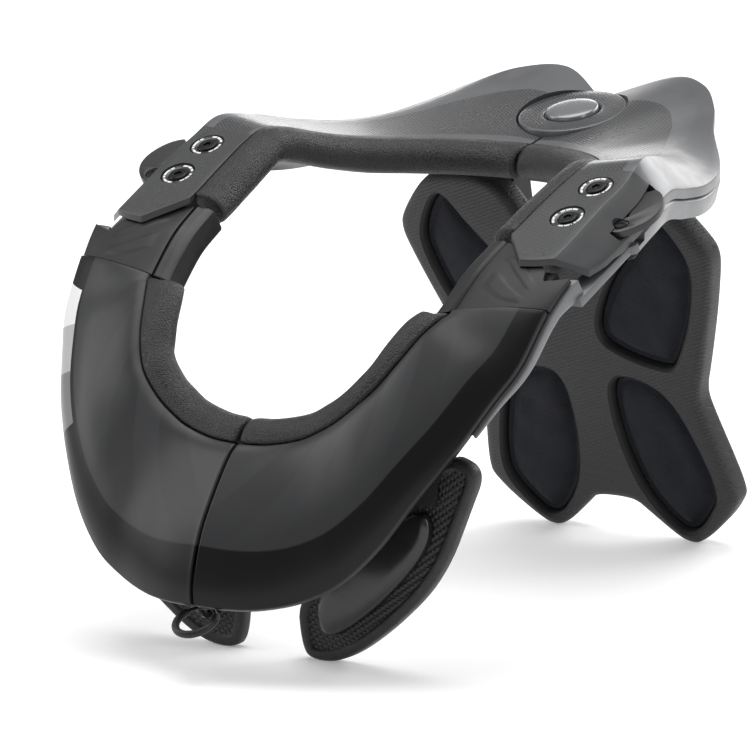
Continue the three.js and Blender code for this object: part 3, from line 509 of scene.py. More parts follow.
def arm_slab(outline: Sequence[Row], top: float, foot: float) -> Skin:
    """A slab with an outline in the arm plane, between two depths under it."""
    return roll([[SIZES.arm_frame @ Vector((x, y, -d)) for x, y in outline] for d in (top, foot)])


def turned(
    profile: Sequence[Row], sides: int, mark: Callable[[int, float], int] = lambda i, a: 0
) -> Skin:
    """Turns a profile round the z axis.

    Args:
        profile: (radius, height) pairs, from axis to axis or closed on itself.
        sides: how many sides a turn has.
        mark: material mark of the cell at a profile step and an angle.

    Returns:
        The turned skin.
    """
    skin = Skin()
    rings: list[list[int]] = []
    for radius, height in profile:
        if radius < 1e-6:
            rings.append([len(skin.points)] * sides)
            skin.points.append(Vector((0.0, 0.0, height)))
            continue
        rings.append(list(range(len(skin.points), len(skin.points) + sides)))
        ring = arc(0.0, 0.0, radius, 0.0, math.tau, sides)[:-1]
        skin.points += [Vector((x, y, height)) for x, y in ring]
    closed = profile[0][0] > 1e-6 and profile[-1][0] > 1e-6
    count = len(rings)
    for i in range(count if closed else count - 1):
        low, high = rings[i], rings[(i + 1) % count]
        for k in range(sides):
            n = (k + 1) % sides
            face = tuple(dict.fromkeys((low[k], low[n], high[n], high[k])))
            if len(face) > 2:
                skin.faces.append(face)
                skin.marks.append(mark(i, math.tau * (k + 0.5) / sides))
    return skin


def rod(radius: float, top: float, foot: float, sides: int) -> Skin:
    """A round bar on the z axis between two heights."""
    return turned([(0, top), (radius, top), (radius, foot), (0, foot)], sides)


def edge_distance(x: float, y: float, outline: Sequence[Row]) -> float:
    """Distance from a point to a closed outline, below zero outside it.

    Args:
        x: the point's way across.
        y: the point's way up.
        outline: corners in order.

    Returns:
        The distance in millimetres.
    """
    nearest = math.inf
    within = False
    for i, (x0, y0) in enumerate(outline):
        x1, y1 = outline[i - 1]
        if (y0 > y) != (y1 > y) and x < (x1 - x0) * (y - y0) / (y1 - y0) + x0:
            within = not within
        dx, dy = x1 - x0, y1 - y0
        t = ((x - x0) * dx + (y - y0) * dy) / max(dx * dx + dy * dy, 1e-9)
        t = min(max(t, 0.0), 1.0)
        nearest = min(nearest, math.hypot(x - x0 - dx * t, y - y0 - dy * t))
    return nearest if within else -nearest


def mound(
    edge: list[Pair],
    wall: Sequence[Row],
    levels: Sequence[Row],
    place: Callable[[float, float, float], Vector],
    band: float = math.inf,
    spacing: float = 2.0,
) -> Skin:
    """Makes a cushion over an outline, with a height that follows the way in from the edge.

    Args:
        edge: the outline.
        wall: (way in, height) pairs of the side, from the foot up to the edge.
        levels: (way in, height) pairs of the top, from the edge inwards.
        place: puts a point by x, y and height.
        band: way in from which the top has the second mark.
        spacing: distance between the points of the top.

    Returns:
        The cushion's skin.
    """
    flat = [Vector(p) for p in edge]
    lines = [(i, (i + 1) % len(edge)) for i in range(len(edge))]
    insets = [inset for inset, _ in levels if 0 < inset < RING_REACH]
    clear, tolerance = 0.3 * spacing, 0.12
    for inset in insets:
        before = None
        for x, y in drawn_in(edge, inset):
            if abs(edge_distance(x, y, edge) - inset) < tolerance:
                flat.append(Vector((x, y)))
                if before is not None:
                    lines.append((before, len(flat) - 1))
                before = len(flat) - 1
            else:
                before = None
    low_x, high_x = min(p[0] for p in edge), max(p[0] for p in edge)
    low_y, high_y = min(p[1] for p in edge), max(p[1] for p in edge)
    for i in range(int((high_x - low_x) / spacing) + 1):
        for j in range(int((high_y - low_y) / spacing) + 1):
            x, y = low_x + (i + 0.5 * (j % 2)) * spacing, low_y + j * spacing
            d = edge_distance(x, y, edge)
            if d > clear and all(abs(d - inset) > clear for inset in insets):
                flat.append(Vector((x, y)))
    found, _, cells, origins, _, _ = geometry.delaunay_2d_cdt(flat, lines, [], 1, 1e-4)
    depths = [max(0.0, edge_distance(p.x, p.y, edge)) for p in found]
    skin = Skin([place(p.x, p.y, between(levels, d)) for p, d in zip(found, depths)])
    for cell in cells:
        middle = sum(depths[k] for k in cell) / len(cell)
        skin.faces.append(tuple(cell))
        skin.marks.append(1 if middle > band else 0)
    rim = {first: k for k, firsts in enumerate(origins) for first in firsts if first < len(edge)}
    above = [rim[k] for k in range(len(edge))]
    for inset, height in list(wall)[-2::-1]:
        start = len(skin.points)
        skin.points += [place(x, y, height) for x, y in (drawn_in(edge, inset) if inset else edge)]
        below = list(range(start, start + len(edge)))
        for k in range(len(edge)):
            n = (k + 1) % len(edge)
            skin.faces.append((above[k], above[n], below[n], below[k]))
            skin.marks.append(0)
        above = below
    skin.faces.append(tuple(above))
    skin.marks.append(0)
    return skin


def tube(path: list[Vector], radius: float, sides: int = 16) -> Skin:
    """Makes a round bar along a path.

    Args:
        path: points along the middle.
        radius: the bar's radius.
        sides: sides of its section.

    Returns:
        The bar's skin, with slightly domed ends.
    """
    sections = []
    across = Vector((1.0, 0.0, 0.0))
    last = len(path) - 1
    for i, p in enumerate(path):
        run = (path[min(i + 1, last)] - path[max(i - 1, 0)]).normalized()
        across = (across - run * across.dot(run)).normalized()
        other = run.cross(across)
        r = radius * (0.8 if i in (0, last) else 1.0)
        ring = arc(0.0, 0.0, r, 0.0, math.tau, sides)[:-1]
        sections.append([p + across * a + other * b for a, b in ring])
    return roll(sections)


@dataclass(frozen=True)
class Edge:
    """How the edges of a piece are rounded."""

    width: float = 0.0
    segments: int = 3
    angle: float = 32.0


def linked(name: str, data: bpy.types.ID) -> Piece:
    """Puts a new object with the given data into the scene.

    Args:
        name: the object's name.
        data: its mesh, lens or light.

    Returns:
        The object.
    """
    made = bpy.data.objects.new(name, data)
    bpy.context.scene.collection.objects.link(made)
    return made


class Workshop:
    @staticmethod
    def solid(skin: Skin, name: str) -> Piece:
        """Makes a bare settled object from a skin.

        Args:
            skin: the mesh in millimetres.
            name: the object's name.

        Returns:
            The linked object.
        """
        mesh = bpy.data.meshes.new(name)
        mesh.from_pydata([SETTLE @ p for p in skin.points], [], skin.faces)
        mesh.polygons.foreach_set("material_index", skin.marks)
        for _ in range(max(skin.marks) + 1):
            mesh.materials.append(None)
        if skin.spots:
            layer = mesh.uv_layers.new(name="UVMap")
            for loop in mesh.loops:
                layer.data[loop.index].uv = skin.spots[loop.vertex_index]
        work = bmesh.new()
        work.from_mesh(mesh)
        bmesh.ops.recalc_face_normals(work, faces=work.faces)
        work.to_mesh(mesh)
        work.free()
        return linked(name, mesh)

    @staticmethod
    def applied(made: Piece) -> None:
        """Bakes an object's modifiers into its mesh.

        Args:
            made: the object.
        """
        bpy.context.view_layer.update()
        graph = bpy.context.evaluated_depsgraph_get()
        baked = bpy.data.meshes.new_from_object(made.evaluated_get(graph))
        made.modifiers.clear()
        made.data = baked

    @classmethod
    def carve(cls, made: Piece, tools: Iterable[Skin], mark: int = 0) -> None:
        """Cuts skins out of an object.

        Args:
            made: the object that is cut.
            tools: closed skins in millimetres.
            mark: material mark of the new walls.
        """
        cutters = []
        while len(made.data.materials) <= mark:
            made.data.materials.append(None)
        for k, tool in enumerate(tools):
            cutter = cls.solid(replace(tool, marks=[mark] * len(tool.faces)), f"cutter_{k}")
            modifier = made.modifiers.new(f"cut_{k}", "BOOLEAN")
            modifier.operation = "DIFFERENCE"
            modifier.solver = "MANIFOLD"
            modifier.object = cutter
            cutters.append(cutter)
        cls.applied(made)
        for cutter in cutters:
            bpy.data.objects.remove(cutter)

    @classmethod
    def round_edges(cls, made: Piece, edge: Edge) -> None:
        """Rounds an object's edges.

        Args:
            made: the object.
            edge: how they are rounded.
        """
        modifier = made.modifiers.new("edge", "BEVEL")
        modifier.width = edge.width * 0.001
        modifier.segments = edge.segments
        modifier.limit_method = "ANGLE"
        modifier.angle_limit = math.radians(edge.angle)
        modifier.use_clamp_overlap = True
        cls.applied(made)

    @classmethod
    def finish(
        cls,
        made: Piece,
        finishes: Sequence["Finish"],
        body: Body,
        slot: Slot,
        stands_for: Sequence[str] = (),
        edge: Edge = Edge(),
        sharp: float = 38.0,
    ) -> Piece:
        """Rounds, shades and dresses an object, and ties it to its body.

        Args:
            made: the object.
            finishes: finishes in the order of the face marks.
            body: the body that it rides on.
            slot: not used.
            stands_for: nodes that it stands for.
            edge: how its edges are rounded.
            sharp: angle in degrees above which an edge stays crisp.

        Returns:
            The same object.
        """
        if edge.width > 0:
            cls.round_edges(made, edge)
        mesh = made.data
        for k, worn in enumerate(finishes):
            if k < len(mesh.materials):
                mesh.materials[k] = worn.material()
            else:
                mesh.materials.append(worn.material())
        mesh.polygons.foreach_set("use_smooth", [True] * len(mesh.polygons))
        mesh.set_sharp_from_angle(angle=math.radians(sharp))
        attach(made, body.value)
        if stands_for:
            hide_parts(*stands_for)
        log.info("%s: %d faces on %s", made.name, len(mesh.polygons), body.value)
        return made

    @classmethod
    def make(
        cls,
        skin: Skin,
        look: str,
        name: str,
        finishes: Sequence["Finish"],
        body: Body,
        slot: Slot,
        edge: Edge = Edge(),
        sharp: float = 38.0,
    ) -> Piece:
        """Makes the finished piece that stands for one node.

        Args:
            skin: the mesh in millimetres.
            look: word that the piece's name starts with.
            name: the node.
            finishes: finishes in the order of the face marks.
            body: the body that it rides on.
            slot: not used; only passed on.
            edge: how its edges are rounded.
            sharp: angle in degrees above which an edge stays crisp.

        Returns:
            The piece.
        """
        return cls.finish(cls.solid(skin, f"{look}_{name}"), finishes, body, slot, [name], edge, sharp)


class ShaderGraph:
    """Adds and joins the shader nodes of one material."""

    def __init__(self, name: str) -> None:
        """Starts a material with its principled shader.

        Args:
            name: the material's name.
        """
        self.material = bpy.data.materials.new(name)
        self.material.use_nodes = True
        self.tree = self.material.node_tree
        self.shader = self.tree.nodes["Principled BSDF"]

    def node(self, kind: str, values: dict[str, object] | None = None, **settings: object) -> bpy.types.Node:
        """Adds a node.

        Args:
            kind: the node's type name.
            values: input values by socket name.
            **settings: the node's own settings.

        Returns:
            The node.
        """
        made = self.tree.nodes.new(kind)
        for key, value in settings.items():
            setattr(made, key, value)
        for key, value in (values or {}).items():
            made.inputs[key].default_value = value
        return made

    def join(self, source: Socket, target: Socket) -> None:
        """Links one socket to another."""
        self.tree.links.new(source, target)

    def settle(self, **values: object) -> None:
        """Sets constants on the shader, with spaces in socket names written as underscores."""
        for key, value in values.items():
            self.shader.inputs[key.replace("_", " ")].default_value = value

    def place(self, turn: Triple = (0, 0, 0), stretch: Triple = (1, 1, 1)) -> Socket:
        """Object coordinates, turned and stretched.

        Args:
            turn: turn about x, y and z, in radians.
            stretch: stretch along x, y and z.

        Returns:
            The coordinates.
        """
        coordinates = self.node("ShaderNodeTexCoord")
        mapping = self.node("ShaderNodeMapping", {"Rotation": turn, "Scale": stretch})
        self.join(coordinates.outputs["Object"], mapping.inputs["Vector"])
        return mapping.outputs["Vector"]

    def noise(self, scale: float, detail: float = 3.0, stretch: Triple = (1, 1, 1)) -> Socket:
        """A noise value between 0 and 1, with a scale in cells per metre.

        Args:
            scale: cells per metre.
            detail: how fine the noise goes.
            stretch: stretch along x, y and z.

        Returns:
            The value.
        """
        made = self.node("ShaderNodeTexNoise", {"Scale": scale, "Detail": detail})
        self.join(self.place(stretch=stretch), made.inputs["Vector"])
        return made.outputs["Fac"]

    def bricks(self, width: float, height: float, joint: Pair, turn: Triple) -> Socket:
        """Adds a brick pattern.

        Args:
            width: a brick's width in millimetres.
            height: a brick's height in millimetres.
            joint: width of the joints in millimetres, and how soft they are.
            turn: how the pattern is turned.

        Returns:
            A value of 1 in the joints.
        """
        values = {"Scale": 1000.0, "Brick Width": width, "Row Height": height}
        values |= {"Mortar Size": joint[0], "Mortar Smooth": joint[1]}
        made = self.node("ShaderNodeTexBrick", values)
        self.join(self.place(turn=turn), made.inputs["Vector"])
        return made.outputs["Fac"]

    def spread(
        self, value: Socket, low: float = 0.0, high: float = 1.0, start: float = 0.3, end: float = 0.7
    ) -> Socket:
        """Maps a value from start and end to low and high.

        Args:
            value: the value that is mapped.
            low: result at start.
            high: result at end.
            start: value that gives low.
            end: value that gives high.

        Returns:
            The mapped value.
        """
        made = self.node(
            "ShaderNodeMapRange", {"From Min": start, "From Max": end, "To Min": low, "To Max": high}
        )
        self.join(value, made.inputs["Value"])
        return made.outputs["Result"]

    def count(self, operation: str, a: Socket, b: Socket | float) -> Socket:
        """Joins two values by a sum of the named kind.

        Args:
            operation: the kind of sum.
            a: first value.
            b: second value, or a number.

        Returns:
            The result.
        """
        made = self.node("ShaderNodeMath", operation=operation)
        self.join(a, made.inputs[0])
        if isinstance(b, (int, float)):
            made.inputs[1].default_value = b
        else:
            self.join(b, made.inputs[1])
        return made.outputs[0]

    def uneven(self, broad: Socket, reach: Pair, fine: Socket, swing: Pair) -> Socket:
        """A roughness that follows a broad value, with a smaller swing by a fine one."""
        return self.count("ADD", self.spread(broad, *reach), self.spread(fine, *swing))

    def blend(
        self,
        share: Socket,
        first: Colour | Socket,
        second: Colour | Socket,
    ) -> Socket:
        """Mixes two colours by a share.

        Args:
            share: share of the second colour.
            first: first colour.
            second: second colour.

        Returns:
            The mixed colour.
        """
        made = self.node("ShaderNodeMix", data_type="RGBA")
        self.join(share, made.inputs[0])
        for socket, colour in ((made.inputs[6], first), (made.inputs[7], second)):
            if isinstance(colour, tuple):
                socket.default_value = (*colour, 1.0)
            else:
                self.join(colour, socket)
        return made.outputs[2]

    def relief(
        self, height: Socket, depth: float, under: Socket | None = None
    ) -> Socket:
        """Bump from a height value, with its depth in millimetres, over another relief.

        Args:
            height: the height value.
            depth: depth in millimetres.
            under: relief that it lies over.

        Returns:
            The relief.
        """
        made = self.node("ShaderNodeBump", {"Strength": 1.0, "Distance": depth * 0.001})
        self.join(height, made.inputs["Height"])
        if under is not None:
            self.join(under, made.inputs["Normal"])
        return made.outputs["Normal"]

    def wear(
        self, colour: Socket, roughness: Socket, normal: Socket
    ) -> bpy.types.Material:
        """Joins colour, roughness and relief to the shader, and returns the material.

        Args:
            colour: base colour.
            roughness: roughness.
            normal: relief.

        Returns:
            The material.
        """
        self.join(colour, self.shader.inputs["Base Color"])
        self.join(roughness, self.shader.inputs["Roughness"])
        self.join(normal, self.shader.inputs["Normal"])
        return self.material


@dataclass(frozen=True)
class Finish:
    """A finish, made into a material once and then shared."""

    name: str

    def material(self) -> bpy.types.Material:
        """The finish's material, made the first time that it is asked for."""
        return bpy.data.materials.get(self.name) or self.mixed()

    def mixed(self) -> bpy.types.Material:
        """Makes the material; each kind of finish has its own recipe."""
        raise NotImplementedError


@dataclass(frozen=True)
class MouldedPlastic(Finish):
    """Injection-moulded plastic with a fine spark-eroded grain and cloudy tone."""

    light: Colour = (0.05, 0.05, 0.052)
    dark: Colour = (0.035, 0.035, 0.037)
    roughness: Pair = (0.34, 0.46)
    grain: float = 2600.0
    depth: float = 0.02
    coat: float = 0.0
    metal: float = 0.0

    def mixed(self) -> bpy.types.Material:
        """Makes the grained plastic.

        Returns:
            The material.
        """
        graph = ShaderGraph(self.name)
        cloud = graph.noise(28.0, 4.0)
        grain = graph.noise(self.grain, 2.0)
        scuff = graph.noise(160.0, 5.0)
        graph.settle(Coat_Weight=self.coat, Coat_Roughness=0.2, Metallic=self.metal, Specular_IOR_Level=0.35)
        colour = graph.blend(graph.spread(cloud), self.dark, self.light)
        rough = graph.uneven(cloud, self.roughness, scuff, (-0.04, 0.05))
        return graph.wear(colour, rough, graph.relief(grain, self.depth))


@dataclass(frozen=True)
class PrintedShell(Finish):
    """Satin plastic of the front shells: tonal slanted bands, a darker flank and plain edge blocks."""

    blocks: bool = False
    base: Colour = (0.03, 0.0305, 0.0318)
    band: Colour = (0.038, 0.0386, 0.0403)
    flank: Colour = (0.0035, 0.0036, 0.0038)

    def mixed(self) -> bpy.types.Material:
        """Makes the printed satin plastic.

        Returns:
            The material.
        """
        graph = ShaderGraph(self.name)
        spots = graph.node("ShaderNodeUVMap", uv_map="UVMap")
        parts = graph.node("ShaderNodeSeparateXYZ")
        graph.join(spots.outputs["UV"], parts.inputs[0])
        across, along = parts.outputs["X"], parts.outputs["Y"]
        slant = graph.count("ADD", graph.count("MULTIPLY", across, 0.55), graph.count("MULTIPLY", along, 1.6))
        wave = graph.count("PINGPONG", graph.count("ADD", slant, 0.06), 0.21)
        stripe = graph.spread(wave, 0.0, 1.0, 0.1, 0.112)
        fade = graph.spread(across, 1.0, 0.0, 0.1, 0.75)
        colour = graph.blend(graph.count("MULTIPLY", stripe, fade), self.base, self.band)
        edge = graph.count("ADD", across, graph.count("MULTIPLY", along, -0.1))
        colour = graph.blend(graph.spread(edge, 0.0, 1.0, 0.655, 0.668), colour, self.flank)
        if self.blocks:
            colour = self.blocked(graph, across, along, colour)
        cloud = graph.noise(22.0, 3.0)
        grain = graph.noise(3200.0, 2.0)
        rough = graph.uneven(cloud, (0.3, 0.36), grain, (-0.02, 0.02))
        graph.settle(Specular_IOR_Level=0.22)
        return graph.wear(colour, rough, graph.relief(grain, 0.008))

    def blocked(
        self,
        graph: ShaderGraph,
        across: Socket,
        along: Socket,
        colour: Socket,
    ) -> Socket:
        """Lays three plain tone blocks along the outer edge.

        Args:
            graph: the material's graph.
            across: share from the inner to the outer edge.
            along: place along the shell.
            colour: the colour under the blocks.

        Returns:
            The colour with the blocks.
        """
        inside = graph.count("GREATER_THAN", across, 0.77)
        place = graph.count("SUBTRACT", along, graph.count("MULTIPLY", across, 0.09))
        for low, high, tone in ((0.617, 0.7, 0.74), (0.53, 0.617, 0.42), (0.44, 0.53, 0.18)):
            above = graph.count("GREATER_THAN", place, low)
            below = graph.count("LESS_THAN", place, high)
            share = graph.count("MULTIPLY", graph.count("MULTIPLY", above, below), inside)
            colour = graph.blend(share, colour, (tone, tone, tone * 1.01))
        return colour


@dataclass(frozen=True)
class KnurledPlate(Finish):
    """Plate with a woven knurl of small slanted bars in low relief and a bright sheen."""

    bar: Colour = (0.078, 0.0793, 0.0828)
    groove: Colour = (0.016, 0.0163, 0.017)
    turn: float = 0.6
    width: float = 2.9
    height: float = 1.3
    depth: float = 0.2

    def mixed(self) -> bpy.types.Material:
        """Makes the knurled plastic.

        Returns:
            The material.
        """
        graph = ShaderGraph(self.name)
        cloud = graph.noise(25.0, 3.0)
        gap = graph.bricks(self.width, self.height, (0.17, 0.6), (0.0, 0.0, self.turn))
        tone = graph.blend(graph.spread(cloud), self.bar, tuple(c * 0.8 for c in self.bar))
        colour = graph.blend(gap, tone, self.groove)
        rough = graph.count("ADD", graph.spread(cloud, 0.25, 0.33), graph.count("MULTIPLY", gap, 0.25))
        graph.settle(Metallic=0.25, Coat_Weight=0.25, Coat_Roughness=0.15)
        height = graph.count("SUBTRACT", graph.spread(cloud, 0.98, 1.0), gap)
        return graph.wear(colour, rough, graph.relief(height, self.depth))


@dataclass(frozen=True)
class PebbledFoam(Finish):
    """Moulded foam skin with a fine pebble grain, coloured lighter on the pebble tops as painted highlight
    and darker between them as painted shade.
    """

    # light is painted highlight on the pebble tops, dark is painted shade in the crevices between pebbles
    light: Colour = (0.014, 0.0144, 0.0142)
    dark: Colour = (0.0015, 0.0016, 0.0016)
    cell: float = 1350.0
    depth: float = 0.2
    roughness: Pair = (0.42, 0.54)

    def mixed(self) -> bpy.types.Material:
        """Makes the pebbled skin.

        Returns:
            The material.
        """
        graph = ShaderGraph(self.name)
        pebble = graph.node("ShaderNodeTexVoronoi", {"Scale": self.cell, "Randomness": 0.9})
        graph.join(graph.place(), pebble.inputs["Vector"])
        dome = graph.spread(pebble.outputs["Distance"], 1.0, 0.0, 0.1, 0.7)
        crease = graph.noise(120.0, 4.0)
        # painted light: colour follows pebble height, light on the domes as painted highlight, dark in the
        # crevices as painted shade
        colour = graph.blend(dome, self.dark, self.light)
        rough = graph.spread(crease, *self.roughness)
        under = graph.relief(crease, 0.12)
        graph.settle(Specular_IOR_Level=0.45)
        return graph.wear(colour, rough, graph.relief(dome, self.depth, under))


@dataclass(frozen=True)
class DashedSkin(Finish):
    """Moulded skin of the stabilizer with short pressed dashes in rows, darkened in the dashes as painted
    shade.
    """

    light: Colour = (0.02, 0.0203, 0.0213)
    dark: Colour = (0.01, 0.0102, 0.0107)
    turn: float = 0.35

    def mixed(self) -> bpy.types.Material:
        """Makes the dashed skin.

        Returns:
            The material.
        """
        graph = ShaderGraph(self.name)
        dash = graph.bricks(3.0, 1.5, (0.2, 0.8), (math.radians(90), 0.0, self.turn))
        cloud = graph.noise(30.0, 4.0)
        grain = graph.noise(1800.0, 2.0)
        colour = graph.blend(graph.spread(cloud), self.dark, self.light)
        # painted shade: the pressed dashes are coloured near black
        colour = graph.blend(dash, colour, (0.003, 0.003, 0.0032))
        rough = graph.uneven(cloud, (0.5, 0.6), grain, (-0.04, 0.04))
        under = graph.relief(grain, 0.05)
        height = graph.count("SUBTRACT", graph.spread(grain, 0.95, 1.0), dash)
        return graph.wear(colour, rough, graph.relief(height, 0.2, under))


@dataclass(frozen=True)
class PadCloth(Finish):
    """Near-black stretch cloth with a close weave and a soft sheen."""

    warp: Colour = (0.009, 0.0105, 0.016)
    weft: Colour = (0.004, 0.0045, 0.008)
    threads: float = 1500.0

    def mixed(self) -> bpy.types.Material:
        """Makes the cloth.

        Returns:
            The material.
        """
        graph = ShaderGraph(self.name)
        turns = ((math.radians(90), 0.0, 0.785), (math.radians(90), 0.0, -0.785))
        waves = []
        for turn in turns:
            values = {"Scale": self.threads / 6.0, "Distortion": 0.6, "Detail": 1.0}
            wave = graph.node("ShaderNodeTexWave", values)
            graph.join(graph.place(turn=turn), wave.inputs["Vector"])
            waves.append(wave.outputs["Fac"])
        thread = graph.count("MULTIPLY", waves[0], waves[1])
        fluff = graph.noise(90.0, 5.0)
        colour = graph.blend(thread, self.weft, self.warp)
        rough = graph.spread(fluff, 0.72, 0.85)
        graph.settle(Sheen_Weight=0.1, Sheen_Roughness=0.4, Specular_IOR_Level=0.25)
        under = graph.relief(fluff, 0.3)
        return graph.wear(colour, rough, graph.relief(thread, 0.1, under))


@dataclass(frozen=True)
class DimpledMesh(Finish):
    """Spacer mesh with diamond dimples in slanted rows, darkened in the dimples as painted shade."""

    rib: Colour = (0.02, 0.0203, 0.0212)
    # colour inside the dimples: painted shade
    dimple_painted_shade: Colour = (0.003, 0.003, 0.0032)
    pitch: float = 2.3

    def mixed(self) -> bpy.types.Material:
        """Makes the dimpled mesh.

        Returns:
            The material.
        """
        graph = ShaderGraph(self.name)
        pits = graph.node(
            "ShaderNodeTexVoronoi", {"Scale": 1000.0 / self.pitch, "Randomness": 0.0}, distance="MANHATTAN"
        )
        graph.join(graph.place(turn=(0.0, 0.6, 0.0)), pits.inputs["Vector"])
        bowl = graph.spread(pits.outputs["Distance"], 0.0, 1.0, 0.35, 0.75)
        grain = graph.noise(1500.0, 2.0)
        # painted shade: darker towards the bottom of each dimple
        colour = graph.blend(bowl, self.dimple_painted_shade, self.rib)
        rough = graph.spread(grain, 0.5, 0.62)
        return graph.wear(colour, rough, graph.relief(bowl, 0.5, graph.relief(grain, 0.04)))


@dataclass(frozen=True)
class DarkMetal(Finish):
    """Blackened metal with fine turning marks."""

    colour: Colour = (0.03, 0.03, 0.032)
    roughness: Pair = (0.24, 0.38)
    metal: float = 0.85

    def mixed(self) -> bpy.types.Material:
        """Makes the metal.

        Returns:
            The material.
        """
        graph = ShaderGraph(self.name)
        marks = graph.noise(900.0, 3.0, (1.0, 1.0, 0.15))
        tone = graph.blend(graph.spread(marks), self.colour, tuple(c * 1.6 for c in self.colour))
        graph.settle(Metallic=self.metal)
        return graph.wear(tone, graph.spread(marks, *self.roughness), graph.relief(marks, 0.01))


SHELL_LEFT = PrintedShell("shell_satin_print")
SHELL_RIGHT = PrintedShell("shell_satin_print_blocks", blocks=True)
COVER_PLASTIC = MouldedPlastic(
    "cover_matte", (0.014, 0.0142, 0.015), (0.009, 0.0092, 0.0096), (0.4, 0.5), 2200.0, 0.03
)
FRAME_PLASTIC = MouldedPlastic(
    "carrier_matte", (0.012, 0.0121, 0.0126), (0.008, 0.0081, 0.0084), (0.45, 0.56), 2200.0, 0.03
)
BEAM_PLASTIC = MouldedPlastic(
    "beam_satin_grey", (0.15, 0.153, 0.16), (0.11, 0.112, 0.117), (0.3, 0.4), 2400.0, 0.02, 0.1, 0.15
)
# Smooth plate border behind the shoulder: a grey border whose tone is lifted above the bracket's border as
# painted sheen of a light from the back right
PLATE_BORDER_PAINTED_SHEEN = MouldedPlastic(
    "plate_border_painted_sheen", (0.11, 0.112, 0.117), (0.09, 0.0915, 0.0955), (0.32, 0.38), 2600.0, 0.004, 0.2, 0.1
)
PLATE_KNURL = KnurledPlate("plate_knurl")
BRACKET_KNURL = KnurledPlate(
    "bracket_knurl", (0.068, 0.0691, 0.0722), (0.014, 0.0143, 0.015), -0.5, 2.6, 1.25, 0.14
)
BRACKET_SMOOTH = MouldedPlastic(
    "bracket_smooth", (0.05, 0.0509, 0.0532), (0.038, 0.0387, 0.0404), (0.34, 0.4), 2600.0, 0.004, 0.1, 0.0
)
# roll foam: pebbles lighter on top as painted highlight, darker between as painted shade
ROLL_FOAM = PebbledFoam("roll_pebble")
LINER_PLASTIC = MouldedPlastic(
    "liner_smooth", (0.011, 0.0112, 0.0117), (0.007, 0.0071, 0.0075), (0.36, 0.46), 1800.0, 0.03
)
LEVER_PLASTIC = MouldedPlastic(
    "lever_plastic", (0.028, 0.0285, 0.03), (0.018, 0.0183, 0.0192), (0.3, 0.4), 2200.0, 0.02, 0.1
)
BOARD_SKIN = DashedSkin("board_dashed_skin")
POCKET_SKIN = MouldedPlastic(
    "pocket_skin", (0.012, 0.012, 0.013), (0.007, 0.007, 0.008), (0.6, 0.7), 1600.0, 0.05
)
PAD_CLOTH = PadCloth("pad_cloth")
# chest rim foam: pebbles lighter on top as painted highlight, darker between as painted shade
CHEST_FOAM = PebbledFoam("chest_rim_foam", (0.015, 0.0152, 0.0158), (0.006, 0.0061, 0.0064), 1300.0, 0.08)
CHEST_MESH = DimpledMesh("chest_dimple_mesh")
CAP_PLASTIC = MouldedPlastic(
    "cap_gloss", (0.014, 0.0142, 0.0148), (0.009, 0.0092, 0.0096), (0.2, 0.28), 2400.0, 0.01, 0.3
)
WASHER_METAL = DarkMetal("washer_dark", (0.05, 0.051, 0.054), (0.26, 0.36))
SCREW_METAL = DarkMetal("screw_black", (0.012, 0.012, 0.013), (0.25, 0.4))
RING_PRINT = MouldedPlastic("scale_print", (0.8, 0.8, 0.8), (0.72, 0.72, 0.72), (0.5, 0.6), 1500.0, 0.002)
BUTTON_PLASTIC = MouldedPlastic(
    "button_shine", (0.2, 0.203, 0.212), (0.15, 0.152, 0.159), (0.16, 0.22), 2600.0, 0.008, 0.5, 0.35
)
SLEEVE_RUBBER = MouldedPlastic(
    "ring_sleeve", (0.012, 0.012, 0.0125), (0.008, 0.008, 0.0085), (0.4, 0.5), 1500.0, 0.02
)


def ring_point(row: Row, column: int, across: float) -> Vector:
    """A point from three columns of a ring's row, with x in shares of the given width."""
    x, y, z = row[column : column + 3]
    return Vector((x * across, y * SIZES.length, z * SIZES.height))


class FrontSurface:
    """The curved surface of the front ring, from its seam to under the rear plates."""

    reach: float = 0.2
    straight_rows: float = 0.3

    def station(self, row: float) -> tuple[Vector, Vector, Vector, Vector, float]:
        """Finds the section at a row.

        Args:
            row: row number of the front ring.

        Returns:
            Inner edge, outer edge, direction across, direction out, and height of the crown.
        """

        def edges(r: float) -> tuple[Vector, Vector, float]:
            """Both edges and the crown at a row.

            Args:
                r: row number.

            Returns:
                Inner edge, outer edge and height of the crown.
            """
            c = smooth_row(FRONT_RING, r)
            inner, outer = ring_point(c, 0, SIZES.neck_half), ring_point(c, 3, SIZES.half_width)
            return inner, outer, c[6] * SIZES.crown

        inner, outer, crown = edges(row)
        a0, b0, _ = edges(max(row - self.reach, 0.0))
        a1, b1, _ = edges(min(row + self.reach, LAST_FRONT))
        along = a1 + b1 - a0 - b0
        if row < self.straight_rows:
            along = Vector((1.0, 0.0, 0.0))
        across = (outer - inner).normalized()
        up = across.cross(along).normalized()
        if up.z < 0:
            up.negate()
        return inner, outer, across, up, crown

    def point(self, row: float, share: float, depth: float = 0.0) -> Vector:
        """A point of the surface, by row, share from the inner edge, and depth below.

        Args:
            row: row number of the front ring.
            share: share from the inner to the outer edge.
            depth: depth below the surface.

        Returns:
            The point.
        """
        inner, outer, _, up, crown = self.station(row)
        height = between(CROWN_SECTION, share) * crown
        return inner.lerp(outer, share) + up * (height - depth)


